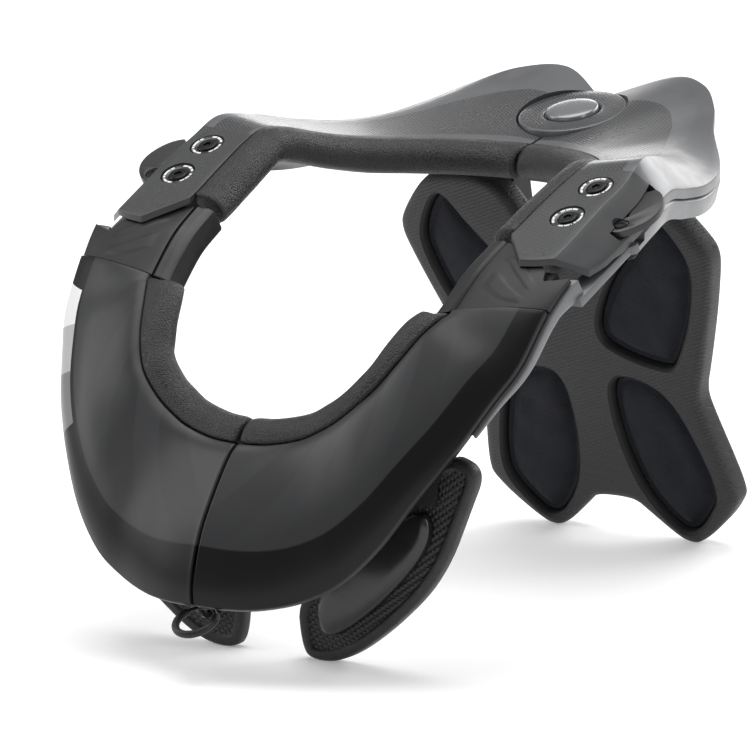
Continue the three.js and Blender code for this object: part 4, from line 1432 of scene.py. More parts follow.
class RearSurface:
    """The surface of a rear plate, from the bracket's tip to the rear seam."""

    nose: float = 9.0

    def point(self, row: float, inward: float, outward: float, drop: float = 0.0) -> Vector:
        """A point of the plate.

        Args:
            row: row number of the rear ring.
            inward: share from the inner edge to the crease.
            outward: share from the crease to the outer low edge.
            drop: distance straight down.

        Returns:
            The point.
        """
        c = smooth_row(REAR_RING, row)
        inner, crease = ring_point(c, 0, SIZES.neck_half), ring_point(c, 3, SIZES.half_width)
        outer = ring_point(c, 6, SIZES.half_width)
        p = inner.lerp(crease, inward).lerp(outer, outward)
        tip = between([(0, 0), (0.25, 0.5), (0.5, 1), (0.78, 0.5), (1, 0)], inward, smooth=False)
        bow = max(0.0, 1.0 - row) * tip * self.nose
        return p + Vector((0.0, -bow, -drop - bow * math.tan(SIZES.arm_tilt)))


FRONT = FrontSurface()
REAR = RearSurface()


def closed_curve(section: Sequence[Row], parts: int) -> list[Pair]:
    """Rounds a closed section into a smooth curve through its points.

    Args:
        section: points of the closed section.
        parts: pieces that each side is cut into.

    Returns:
        Points of the curve.
    """
    count = len(section)
    curve = []
    for i in range(count):
        a, b, c, d = (section[(i + k) % count] for k in (-1, 0, 1, 2))
        for s in range(parts):
            bent = (on_curve(s / parts, b[n], (c[n] - a[n]) / 2, c[n], (d[n] - b[n]) / 2) for n in (0, 1))
            curve.append(tuple(bent))
    return curve


def pillowed(sections: list[list[Vector]], shrink: float, ends: int = 4) -> list[list[Vector]]:
    """Draws the end sections of a roll in, so that it ends round.

    Args:
        sections: the roll's sections.
        shrink: how small the last section becomes.
        ends: how many sections at each end are drawn in.

    Returns:
        The sections, drawn in at both ends.
    """
    last = len(sections) - 1
    shaped = []
    for i, section in enumerate(sections):
        near = min(i, last - i)
        if near >= ends:
            shaped.append(section)
            continue
        t = 1 - near / ends
        k = shrink + (1 - shrink) * math.sqrt(max(0.0, 1 - t * t))
        middle = sum(section, Vector()) / len(section)
        shaped.append([middle + (p - middle) * k for p in section])
    return shaped


def crowded(low: float, high: float, count: int, margin: float = 0.3) -> list[float]:
    """Steps that stand close together near both ends, for rounded ends.

    Args:
        low: first step.
        high: last step.
        count: even steps between the margins.
        margin: how far the close steps reach in from each end.

    Returns:
        The steps.
    """
    near = [margin * (i / 4) ** 1.6 for i in range(4)]
    middle = steps(low + margin, high - margin, count)
    return [low + n for n in near] + middle + [high - n for n in reversed(near)]


@dataclass
class FrontBib:
    """The front: satin shells, matte arm covers, soft rolls, crisp liners and their carrier."""

    shell_rows: int = 84
    shell_end: float = 10.0
    roll_rows: int = 70
    liner_rows: int = 24
    liner_end: float = 11.9
    cover_gap: float = 0.04
    cover_sink: float = 1.5
    cover_wall: float = 2.3
    cover_end: tuple[Row, ...] = (
        (0, 11.86), (0.25, 11.86), (0.5, 11.45), (0.7, 11.04), (0.76, 10.74), (0.88, 10.8), (1, 10.9),
    )

    def shell(self, side: Side) -> None:
        """Makes the outer shell of one side.

        Args:
            side: the wearer's side.
        """
        rows = steps(0.0, self.shell_end, self.shell_rows)
        shares = [0, 0.02, 0.05, 0.09, 0.155, 0.23, 0.3, 0.38, 0.45, 0.52, 0.58, 0.64, 0.7, 0.74, 0.78]
        shares += [0.82, 0.86, 0.9, 0.94, 0.97, 0.985, 1]

        def grid(depth: float) -> list[list[Vector]]:
            """Points of the shell at a depth.

            Args:
                depth: depth below the surface.

            Returns:
                The points, row by row.
            """
            made = [[FRONT.point(r, s, depth) for s in shares] for r in rows]
            for p in made[0]:
                p.x = SIZES.seam / 2
            return made

        skin = plate(grid(0.0), grid(SIZES.shell_wall), spot=lambda i, j: (shares[j], rows[i] / LAST_FRONT))
        name = f"front_shell_{side.word}"
        made = Workshop.solid(skin.on(side), f"satin_{name}")
        worn = SHELL_LEFT if side is Side.LEFT else SHELL_RIGHT
        Workshop.finish(made, [worn], Body.YOKE, Slot.SHELL, [name], Edge(1.2))

    def cover(self, side: Side) -> None:
        """Makes the matte cover of one arm, with a low tonal relief on it.

        Args:
            side: the wearer's side.
        """
        shares = steps(0.0, 1.0, 56)
        parts = steps(0.0, 1.0, 60)

        def grid(depth: float, raised: bool) -> list[list[Vector]]:
            """Points of the cover at a depth, with or without its relief.

            Args:
                depth: depth below the surface.
                raised: whether the relief is on it.

            Returns:
                The points, row by row.
            """
            made = []
            for t in parts:
                line = []
                for s in shares:
                    start = self.shell_end + self.cover_gap
                    row = start + (between(self.cover_end, s, smooth=False) - start) * t
                    lift = self.relief(s, t) if raised else 0.0
                    line.append(FRONT.point(row, s, depth - lift))
                made.append(line)
            return made

        skin = plate(grid(self.cover_sink, True), grid(self.cover_sink + self.cover_wall, False))
        Workshop.make(
            skin.on(side), "matte", f"arm_cover_{side.word}",
            [COVER_PLASTIC], Body.YOKE, Slot.COVER, Edge(0.5, 2)
        )

    @staticmethod
    def relief(share: float, along: float) -> float:
        """Height of the slanted bars pressed into a cover, in millimetres.

        Args:
            share: share from the inner to the outer edge.
            along: share along the cover.

        Returns:
            The height in millimetres.
        """
        near = min(share - 0.14, 0.7 - share, along - 0.1, 0.78 - along)
        if near <= 0:
            return 0.0
        wave = math.sin(math.tau * (along * 2.6 + share * 1.3))
        return 0.28 * min(1.0, near / 0.08) * min(1.0, max(0.0, wave * 2.4 + 0.4))

    def front_roll(self, side: Side) -> None:
        """Makes the soft roll along one side of the front's neck edge.

        Args:
            side: the wearer's side.
        """
        rows = crowded(0.0, self.shell_end - 0.1, self.roll_rows)
        curve = closed_curve(ROLL_SECTION, 4)
        sections = [self.roll_section(r, curve) for r in rows]
        skin = roll(pillowed(sections, 0.72))
        made = Workshop.make(
            skin.on(side), "soft", f"front_foam_{side.word}", [ROLL_FOAM], Body.YOKE, Slot.FOAM, sharp=60
        )

    @staticmethod
    def roll_section(row: float, curve: Sequence[Row]) -> list[Vector]:
        """Section of a roll on the front's neck edge.

        Args:
            row: row number of the front ring.
            curve: the section's curve, in shares of the roll's width and height.

        Returns:
            The section's points.
        """
        inner, _, across, up, _ = FRONT.station(row)
        start, width, height = inner - across * SIZES.gap, across * SIZES.roll_width, up * SIZES.roll_height
        points = [start - width * a + height * n for a, n in curve]
        if row < SIZES.seam_ease:
            for p in points:
                p.x += (SIZES.seam / 2) * (1 - row / SIZES.seam_ease)
        return points

    def liner(self, side: Side) -> None:
        """Makes the crisp liner of one arm's neck edge.

        Args:
            side: the wearer's side.
        """
        curve = closed_curve(LINER_SECTION, 2)
        rows = steps(self.shell_end, self.liner_end, self.liner_rows)
        sections = [self.roll_section(r, curve) for r in rows]
        Workshop.make(
            roll(sections).on(side), "crisp", f"liner_{side.word}",
            [LINER_PLASTIC], Body.YOKE, Slot.LINER, Edge(0.5, 2, 45)
        )

    def build(self, frame: dict) -> None:
        """Builds both sides, and dresses the carrier.

        Args:
            frame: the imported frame.
        """
        for side in Side:
            self.shell(side)
            self.cover(side)
            self.front_roll(side)
            self.liner(side)
        dress_node(frame, "front_frame", FRAME_PLASTIC)


def dress_node(frame: dict, name: str, worn: Finish) -> None:
    """Gives a carried-over node its finish.

    Args:
        frame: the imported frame.
        name: the node.
        worn: its finish.
    """
    node = frame["nodes"][name]
    if not node.data.materials:
        node.data.materials.append(worn.material())
    for k in range(len(node.material_slots)):
        node.material_slots[k].link = "OBJECT"
        node.material_slots[k].material = worn.material()
    log.info("%s: dressed as %s", name, worn.name)


@dataclass
class SideBeams:
    """Light grey beams under the arms, each with the lug that turns on its pin."""

    start: float = 7.4
    end: float = 11.05
    width: float = 7.0
    out: float = 1.6
    height: float = 6.0
    taper: float = 0.35
    knee: float = 0.75
    fall: float = 5.0
    rows: int = 44
    lug_radius: float = 6.2
    lug_length: float = 42.0
    arc_start: float = -0.6

    def section(self, row: float) -> list[Vector]:
        """Section of the beam at a row of the front ring.

        Args:
            row: row number of the front ring.

        Returns:
            The section's corners.
        """
        _, outer, across, up, _ = FRONT.station(row)
        t = (row - self.start) / (self.end - self.start)
        taper = self.taper + (1 - self.taper) * min(1.0, t * 2)
        tall = self.height * taper + self.fall * max(0.0, (t - self.knee) / (1 - self.knee))
        top = SIZES.shell_wall + SIZES.gap
        corners = [
            (self.out - self.width, top), (self.out, top), (self.out, top + tall * 0.75),
            (self.out - 2, top + tall), (self.out - self.width, top + tall),
        ]
        return [outer + across * a - up * n for a, n in corners]

    def lug_outline(self, side: Side) -> list[Pair]:
        """Edge of the lug in the arm plane: a closed eye on the right, a hook on the left.

        Args:
            side: the wearer's side.

        Returns:
            The outline's corners.
        """
        x, y, r = SIZES.pin_x, SIZES.pin_ahead, self.lug_radius
        outline = [(x - r, y - self.lug_length), (x + r * 0.6, y - self.lug_length), (x + r * 0.6, y - 4)]
        if side is Side.RIGHT:
            return outline + arc(x, y, r, self.arc_start, math.pi, 24)
        hole = SIZES.pin_hole
        lip = arc(x, y, r, self.arc_start, 0.0, 6)
        bite = arc(x, y, hole, 0.0, -math.pi, 18)
        tail = [(x - hole, y + r), (x - r, y + r * 0.8)]
        return outline + lip + bite + tail

    def build(self) -> None:
        """Builds both beams."""
        for side in Side:
            beam = roll([self.section(r) for r in steps(self.start, self.end, self.rows)])
            name = f"side_beam_{side.word}"
            made = Workshop.solid(beam.on(side), f"grey_{name}")
            lug = arm_slab(self.lug_outline(side), SIZES.lug_depth, SIZES.lug_depth + SIZES.lug_wall)
            tongue = Workshop.solid(lug.on(side), f"grey_lug_{side.word}")
            if side is Side.RIGHT:
                Workshop.carve(tongue, [rod(SIZES.pin_hole, FAR, -FAR, 32).moved(SIZES.pin_spot).on(side)])
            Workshop.finish(made, [BEAM_PLASTIC], Body.YOKE, Slot.BEAM, [name], Edge(0.9, 3, 30))
            Workshop.finish(tongue, [BEAM_PLASTIC], Body.YOKE, Slot.BEAM, edge=Edge(0.5, 2, 40))


@dataclass
class RearYoke:
    """The rear plates, the grey lower shells and the soft rolls on their neck edge."""

    wall: float = 4.2
    lip_wall: float = 3.0
    base_gap: float = 1.6
    base_wall: float = 7.9
    base_start: float = 1.15
    base_tuck: float = 2.0
    narrow_row: float = 7.5
    roll_height: float = 14.5
    level_row: float = 3.6
    seat_depth: float = 2.1
    bracket_row: float = 3.4
    hub_radius: float = 24.3
    hub_seat: float = 5.3
    row_count: int = 110
    roll_rows: int = 84
    roll_start: float = 0.35
    columns: tuple[Row, ...] = (
        *((a, 0) for a in (0, 0.08, 0.16, 0.25, 0.37, 0.5, 0.62, 0.72, 0.8, 0.89)),
        *((1, b) for b in (0, 0.2, 0.4, 0.6, 0.8, 1)),
    )

    def rows(self, start: float) -> list[float]:
        """Rows from a start to the rear seam."""
        return steps(start, LAST_REAR, self.row_count)

    def arm_post(self, x: float, behind: float, radius: float, top: float, bottom: float) -> Skin:
        """A round cutter across the arm plane between two depths."""
        return rod(radius, -top, -bottom, 48).moved(SIZES.arm_spot(x, behind))

    def arm_box(self, low: Row, high: Row) -> Skin:
        """A box cutter in the arm plane between two corners of x, way behind, and depth."""
        (x0, b0, d0), (x1, b1, d1) = low, high
        return arm_slab([(x0, b0), (x1, b0), (x1, b1), (x0, b1)], d0, d1)

    def lever_room(self) -> Skin:
        """The space that the lever turns in.

        Returns:
            The cutter.
        """
        x, y = SIZES.pin_x, SIZES.pin_ahead
        return self.arm_box(
            (x - 7.1, y - 7.1, SIZES.lever_depth - SIZES.gap),
            (x + FAR, y + 29, SIZES.lever_depth + SIZES.lever_wall + SIZES.gap),
        )

    def lug_room(self) -> Skin:
        """The space that the beam's lug swings in.

        Returns:
            The cutter.
        """
        x, y = SIZES.pin_x, SIZES.pin_ahead
        return self.arm_box(
            (x - 7.7, y - FAR, SIZES.lug_depth - SIZES.gap),
            (x + FAR, y + 7.7, SIZES.lug_depth + SIZES.lug_wall + SIZES.gap),
        )

    def shared_cutters(self, side: Side, hub_foot: float) -> list[Skin]:
        """The lever's space, the pin's hole, and the hub's seat down to a height.

        Args:
            side: the wearer's side.
            hub_foot: height of the hub seat's floor.

        Returns:
            The three cutters.
        """
        pin = self.arm_post(SIZES.pin_x, SIZES.pin_ahead, SIZES.pin_hole, -5, FAR)
        hub = rod(self.hub_radius, FAR, hub_foot, 96).moved(RearHub().frame)
        return [self.lever_room().on(side), pin.on(side), hub]

    def upper(self, side: Side) -> None:
        """Makes one rear plate, with its screw seats, lever slot and hub seat.

        Args:
            side: the wearer's side.
        """
        rows = [0.0, 0.18] + self.rows(0.36)

        def wall(row: float) -> float:
            """Wall of the plate at a row, thin at the lip."""
            return between([(0, self.lip_wall), (1.3, self.lip_wall), (1.6, self.wall)], row, smooth=False)

        def grid(lower: bool) -> list[list[Vector]]:
            """Points of the upper or the lower face.

            Args:
                lower: whether it is the lower face.

            Returns:
                The points, row by row.
            """
            made = [[REAR.point(r, a, b, wall(r) if lower else 0.0) for a, b in self.columns] for r in rows]
            for p in made[-1]:
                p.x = SIZES.seam / 2
            return made

        def mark(i: int, j: int) -> int:
            """Knurl inside the border, bracket tones in front of the shoulder, and behind it the plate's
            border, lightened as painted sheen.

            Args:
                i: row of the cell.
                j: column of the cell.

            Returns:
                The material mark.
            """
            row = rows[i]
            front = row < self.bracket_row
            border = j < 1 or j > (8 if front else 7) or row < 0.1 or row > LAST_REAR - 0.1
            return (2 if front else 0) + (1 if border else 0)

        skin = plate(grid(False), grid(True), mark, side=lambda i: 3 if rows[i] < self.bracket_row else 1)
        name = f"rear_shell_{side.word}"
        made = Workshop.solid(skin.on(side), f"knurled_{name}")
        Workshop.round_edges(made, Edge(1.4, 4, 30))
        seats = []
        for behind in (0.0, SIZES.screw_pitch):
            reach = SIZES.washer_radius + SIZES.gap
            seats.append(self.arm_post(SIZES.screw_x, behind, reach, -20, self.seat_depth).on(side))
        Workshop.carve(made, seats + self.shared_cutters(side, -FAR), mark=3)
        # the plate's smooth border is lighter than the bracket's border as painted sheen
        worn = [PLATE_KNURL, PLATE_BORDER_PAINTED_SHEEN, BRACKET_KNURL, BRACKET_SMOOTH]
        Workshop.finish(made, worn, Body.REAR, Slot.PLATE, [name])

    def lower(self, side: Side) -> None:
        """Makes one grey lower shell.

        Args:
            side: the wearer's side.
        """
        rows = self.rows(self.base_start)
        last = len(self.columns) - 1

        def grid(lower: bool) -> list[list[Vector]]:
            """Points of the upper or the lower face.

            Args:
                lower: whether it is the lower face.

            Returns:
                The points, row by row.
            """
            made = []
            for r in rows:
                line = []
                for j, (a, b) in enumerate(self.columns):
                    full = 1.0 if 0.6 < a and b < 0.9 else 0.9
                    drop = self.wall + self.base_gap + (self.base_wall * full if lower else 0.0)
                    p = REAR.point(r, a, b, drop)
                    if r > self.narrow_row:
                        near = 0.78 * a + 0.22 * b * a
                        ease = min(1.0, (r - self.narrow_row) / 0.6)
                        p = p.lerp(REAR.point(r, near, 0.0, drop), ease)
                    if lower and j == last:
                        p.x -= self.base_tuck
                    line.append(p)
                made.append(line)
            for p in made[-1]:
                p.x = SIZES.seam / 2
            return made

        name = f"lower_shell_{side.word}"
        made = Workshop.solid(plate(grid(False), grid(True)).on(side), f"grey_{name}")
        Workshop.round_edges(made, Edge(1.6, 4, 35))
        lever, pin, hub = self.shared_cutters(side, -self.hub_seat)
        Workshop.carve(made, [lever, self.lug_room().on(side), pin, hub])
        self.keep_largest(made)
        Workshop.finish(made, [BEAM_PLASTIC], Body.REAR, Slot.BEAM, [name])

    @staticmethod
    def keep_largest(made: Piece) -> None:
        """Drops the small offcuts that a cut leaves beside the main body.

        Args:
            made: the object.
        """
        work = bmesh.new()
        work.from_mesh(made.data)
        left = set(work.faces)
        groups: list[list[bmesh.types.BMFace]] = []
        while left:
            group, queue = [], [left.pop()]
            while queue:
                face = queue.pop()
                group.append(face)
                for line in face.edges:
                    for other in line.link_faces:
                        if other in left:
                            left.discard(other)
                            queue.append(other)
            groups.append(group)
        groups.sort(key=len)
        for group in groups[:-1]:
            bmesh.ops.delete(work, geom=group, context="FACES")
        work.to_mesh(made.data)
        work.free()

    def neck_roll(self, side: Side) -> None:
        """Makes the soft roll along one plate's neck edge.

        Args:
            side: the wearer's side.
        """
        last = float(LAST_REAR)
        curve = closed_curve(ROLL_SECTION, 4)
        sections = []
        for r in crowded(self.roll_start, last, self.roll_rows):
            inner = REAR.point(r, 0.0, 0.0)
            run = REAR.point(min(r + 0.1, last), 0.0, 0.0) - REAR.point(r - 0.1, 0.0, 0.0)
            run.z = 0.0
            run.normalize()
            if r > last - 0.3:
                run = Vector((-1.0, 0.0, 0.0))
            inward = Vector((-run.y, run.x, 0.0))
            tilt = SIZES.arm_tilt * min(max((self.level_row - r) / 2, 0.0), 1.0)
            section = []
            for a, n in curve:
                p = inner + inward * (SIZES.gap + a * SIZES.roll_width)
                p.z += n * self.roll_height * math.cos(tilt)
                p.y -= n * self.roll_height * math.sin(tilt)
                if r > last - SIZES.seam_ease:
                    p.x += SIZES.seam / 2 * (1 - (last - r) / SIZES.seam_ease)
                section.append(p)
            sections.append(section)
        made = Workshop.make(
            roll(pillowed(sections, 0.7)).on(side), "soft", f"rear_foam_{side.word}",
            [ROLL_FOAM], Body.REAR, Slot.FOAM, sharp=60
        )

    def build(self) -> None:
        """Builds both sides of the yoke."""
        for side in Side:
            self.upper(side)
            self.lower(side)
            self.neck_roll(side)


@dataclass
class RearHub:
    """The round hub over the rear seam and its smooth button."""

    radius: float = 23.5
    wall: float = 5.0
    middle_y: float = 270.5
    middle_z: float = 191.6
    rise: float = math.radians(13)
    button: float = 11.5
    button_seat: float = 2.2
    button_height: float = 2.6
    button_ring: float = 0.8

    @property
    def frame(self) -> Matrix:
        """The hub's own frame, with z out of its face."""
        return Matrix.Translation((0.0, self.middle_y, self.middle_z)) @ Matrix.Rotation(self.rise, 4, "X")

    def build(self) -> None:
        """Builds the hub and its button."""
        r, seat = self.radius, self.button + self.button_ring
        profile = [
            (seat, -self.wall), (r - 0.6, -self.wall), (r, -self.wall + 0.6), (r, -1.0),
            (r - 0.35, -0.3), (r - 1.1, 0.0), (seat + 1.6, 0.0), (seat + 0.7, -0.15),
            (seat + 0.15, -0.6), (seat, -1.2),
        ]
        disc = turned(profile, 128, lambda i, a: 0 if i == 5 else 1)
        floor = rod(seat, -self.wall, -self.button_seat, 64)
        made = Workshop.solid(disc.add(floor).moved(self.frame), "knurled_rear_hub")
        # the hub's rim wears the plate border finish, lightened as painted sheen
        Workshop.finish(made, [PLATE_KNURL, PLATE_BORDER_PAINTED_SHEEN], Body.REAR, Slot.PLATE, ["rear_hub"])
        b, h, low = self.button, self.button_height, -self.button_seat + SIZES.gap
        dome = [(0, low), (b * 0.96, low), (b, low + 0.4), (b, -0.1), (b * 0.985, h * 0.2)]
        angles = steps(0.22, math.pi / 2, 14)[:-1]
        dome += [(b * math.cos(t), h * 0.2 + h * 0.8 * math.sin(t)) for t in angles]
        dome.append((0, h))
        cap = Workshop.solid(turned(dome, 96).moved(self.frame), "smooth_hub_button")
        Workshop.finish(cap, [BUTTON_PLASTIC], Body.REAR, Slot.BUTTON, ["hub_button"], sharp=50)


@dataclass
class SideLatch:
    """Thumb lever, pivot pin and the two adjusting screws of one arm."""

    washer_height: float = 1.4
    washer_sink: float = 0.4
    head_radius: float = 4.2
    head_height: float = 1.2
    shank_radius: float = 1.6
    shank_length: float = 1.2
    hex_across: float = 3.2
    socket_depth: float = 0.9
    lever_length: float = 26.0
    lever_bulge: float = 11.0
    lever_eye: float = 5.6
    pin_radius: float = 3.0
    pin_foot: float = 21.8

    def washer(self, side: Side, place: str, behind: float) -> None:
        """Makes a dished washer with a printed scale ring.

        Args:
            side: the arm.
            place: front or rear.
            behind: distance behind the front screw.
        """
        r, sink = SIZES.washer_radius, self.washer_sink
        bore, seat = self.shank_radius + SIZES.gap, self.head_radius + SIZES.gap
        floor = -self.head_height - SIZES.gap
        foot = -self.washer_height - sink
        profile = [
            (bore, foot), (r, foot), (r, -sink - 0.35), (r - 0.35, -sink), (r - 0.7, -sink),
            (r - 1.7, -sink - 0.05), (r - 2.0, -sink - 0.1), (seat, -sink - 0.35), (seat, floor),
            (bore, floor),
        ]

        def mark(step: int, angle: float) -> int:
            """The printed ring, with its gaps and ticks.

            Args:
                step: step of the profile.
                angle: angle round the washer.

            Returns:
                The material mark.
            """
            turn = math.degrees(angle) % 360
            gaps = any(low < turn < high for low, high in ((40, 78), (150, 164), (228, 262), (318, 326)))
            return 1 if step == 4 and not gaps and int(turn / 3.75) % 7 != 6 else 0

        skin = turned(profile, 96, mark)
        spot = SIZES.arm_spot(SIZES.screw_x, behind)
        Workshop.make(
            skin.moved(spot).on(side), "dished", f"washer_{place}_{side.word}",
            [WASHER_METAL, RING_PRINT], Body.REAR, Slot.METAL
        )

    def screw(self, side: Side, place: str, behind: float) -> None:
        """Makes a socket-head screw.

        Args:
            side: the arm.
            place: front or rear.
            behind: distance behind the front screw.
        """
        r = self.head_radius
        foot = -self.washer_height - self.shank_length - self.washer_sink
        profile = [
            (0, foot), (self.shank_radius, foot), (self.shank_radius, -self.head_height),
            (r - 0.2, -self.head_height), (r, -self.head_height + 0.2), (r, -0.45),
            (r - 0.4, -0.1), (r - 0.9, 0.0), (0, 0),
        ]
        spot = SIZES.arm_spot(SIZES.screw_x, behind)
        name = f"screw_{place}_{side.word}"
        made = Workshop.solid(turned(profile, 64).moved(spot).on(side), f"socket_{name}")
        across = self.hex_across / math.sqrt(3)
        tool = rod(across, 5, -self.socket_depth, 6)
        Workshop.carve(made, [tool.moved(spot).on(side)])
        Workshop.finish(made, [SCREW_METAL], Body.REAR, Slot.METAL, [name], Edge(0.08, 2, 40))

    def lever(self, side: Side) -> None:
        """Makes the D-shaped thumb lever of one arm.

        Args:
            side: the wearer's side.
        """
        x, y = SIZES.pin_x, SIZES.pin_ahead
        eye, bulge, reach = self.lever_eye, self.lever_bulge, self.lever_length
        outline = arc(x, y, eye, math.pi / 2, math.pi * 5 / 3, 20)

        def bend(p0: Row, p1: Row, p2: Row, count: int) -> list[Pair]:
            """Points of a bow between two ends, without its first.

            Args:
                p0: first end.
                p1: the corner that it bows to.
                p2: last end.
                count: how many points.

            Returns:
                The points.
            """
            return [
                tuple((1 - t) ** 2 * p0[n] + 2 * t * (1 - t) * p1[n] + t * t * p2[n] for n in (0, 1))
                for t in steps(0.0, 1.0, count)[1:]
            ]

        outline += bend(outline[-1], (x + bulge * 1.15, y + 3), (x + bulge, y + reach * 0.5), 12)
        outline += bend(outline[-1], (x + bulge * 0.8, y + reach * 0.9), (x + 1, y + reach), 12)
        outline.append((x - eye * 0.6, y + reach * 0.85))
        skin = arm_slab(outline, SIZES.lever_depth, SIZES.lever_depth + SIZES.lever_wall)
        name = f"release_lever_{side.word}"
        made = Workshop.solid(skin.on(side), f"thumb_{name}")
        Workshop.carve(made, [rod(SIZES.pin_hole, FAR, -FAR, 32).moved(SIZES.pin_spot).on(side)])
        body = Body.LEVER_LEFT if side is Side.LEFT else Body.LEVER_RIGHT
        Workshop.finish(made, [LEVER_PLASTIC], body, Slot.LINER, [name], Edge(0.6, 3, 40))

    def pin(self, side: Side) -> None:
        """Makes the pivot pin of one arm, with a dimpled head.

        Args:
            side: the wearer's side.
        """
        r, head = self.pin_radius, -SIZES.lever_depth + 0.2
        profile = [
            (0, -self.pin_foot), (r - 0.4, -self.pin_foot), (r, -self.pin_foot + 0.4),
            (r, head - 0.5), (r - 0.5, head), (1.3, head), (0.9, head - 0.4), (0, head - 0.5),
        ]
        Workshop.make(
            turned(profile, 48).moved(SIZES.pin_spot).on(side), "turned", f"pivot_pin_{side.word}",
            [SCREW_METAL], Body.REAR, Slot.METAL
        )

    def build(self) -> None:
        """Builds the latches of both arms."""
        for side in Side:
            for place, behind in (("front", 0.0), ("rear", SIZES.screw_pitch)):
                self.washer(side, place, behind)
                self.screw(side, place, behind)
            self.lever(side)
            self.pin(side)


@dataclass
class BackStabilizer:
    """The board down the back, its four cloth pads, and what carries it."""

    half: float = 80.0
    tall: float = 181.0
    wall: float = 12.0
    lean: float = math.radians(20.3)
    foot_y: float = 304.0
    pocket: float = 6.0
    pad_wall: float = 4.0

    def place(self, x: float, up: float, out: float) -> Vector:
        """A point by its way across, up the leaning face, and out of it towards the wearer.

        Args:
            x: way across.
            up: way up the face.
            out: way out of the face.

        Returns:
            The point.
        """
        return Vector(
            (
                x,
                self.foot_y - up * math.sin(self.lean) - out * math.cos(self.lean),
                up * math.cos(self.lean) - out * math.sin(self.lean),
            )
        )

    def scaled(self, outline: Sequence[Row], sign: float = 1.0) -> list[Pair]:
        """An outline in millimetres, or its mirror image."""
        return [(sign * x * self.half, y * self.tall) for x, y in outline]

    def board(self) -> None:
        """Makes the board, with rounded edges and four pockets."""
        right = self.scaled(BACK_OUTLINE)
        outline = rounded(right + [(-x, y) for x, y in reversed(right)], 3)
        back = [(2.6, 0.0), (1.2, 0.5), (0.3, 1.4), (0.0, 2.8)]
        profile = [(inset, out - self.wall) for inset, out in back]
        profile += [(0.0, -3.6), (0.35, -2.0), (1.3, -0.9), (2.9, -0.2), (4.6, 0.0)]
        rings = [
            [self.place(x, y, out) for x, y in (drawn_in(outline, inset) if inset else outline)]
            for inset, out in profile
        ]
        made = Workshop.solid(roll(rings), "moulded_stabilizer")
        tools = []
        for table in (UPPER_POCKET, LOWER_POCKET):
            for sign in (1.0, -1.0):
                edge = rounded(self.scaled(table, sign), 3)
                flare = [(0.0, -self.pocket), (0.0, -1.4), (-0.5, -0.6), (-1.5, -0.05), (-1.5, 6.0)]
                tools.append(
                    roll([[self.place(x, y, out) for x, y in drawn_in(edge, inset)] for inset, out in flare])
                )
        Workshop.carve(made, tools, mark=1)
        Workshop.finish(made, [BOARD_SKIN, POCKET_SKIN], Body.BACK, Slot.BOARD, ["stabilizer"], sharp=45)

    def pad(self, table: Sequence[Row], side: Side, place: str) -> None:
        """Makes one crowned cloth pad with a stitched welt round its edge.

        Args:
            table: the pocket's outline.
            side: the pad's side.
            place: upper or lower.
        """
        edge = drawn_in(rounded(self.scaled(table), 3), 0.6)
        floor = -self.pocket + SIZES.gap
        wall = [(0.0, floor), (0.0, floor + 1.4)]
        rises = [(0.0, 1.4), (0.4, 2.0), (1.4, 2.2), (2.1, 1.7), (2.8, 1.9)]
        rises += [(4.2, 2.8), (6.4, 3.5), (9.4, 3.9), (15.0, 4.15)]
        levels = [(inset, floor + rise) for inset, rise in rises]

        def spot(x: float, y: float, out: float) -> Vector:
            """A point of the pad, with the cloth's ripples."""
            return self.place(x, y, out + self.ripple(x, y, out - floor))

        skin = mound(edge, wall, levels, spot)
        made = Workshop.make(
            skin.on(side), "cloth", f"back_pad_{place}_{side.word}",
            [PAD_CLOTH], Body.BACK, Slot.PAD, sharp=70
        )

    @staticmethod
    def ripple(x: float, y: float, lift: float) -> float:
        """Slight waviness of the cloth where it stands clear of the pocket's floor.

        Args:
            x: way across.
            y: way up the face.
            lift: height over the pocket's floor.

        Returns:
            The height in millimetres.
        """
        if lift < 2.5:
            return 0.0
        return 0.16 * math.sin(x * 0.31 + y * 0.12) + 0.12 * math.sin(y * 0.27 - x * 0.18)

    def build(self, frame: dict) -> None:
        """Builds the board and its pads, and dresses the mounts and arms.

        Args:
            frame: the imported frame.
        """
        self.board()
        for side in Side:
            self.pad(UPPER_POCKET, side, "upper")
            self.pad(LOWER_POCKET, side, "lower")
            dress_node(frame, f"back_mount_{side.word}", FRAME_PLASTIC)
            dress_node(frame, f"back_arm_{side.word}", FRAME_PLASTIC)


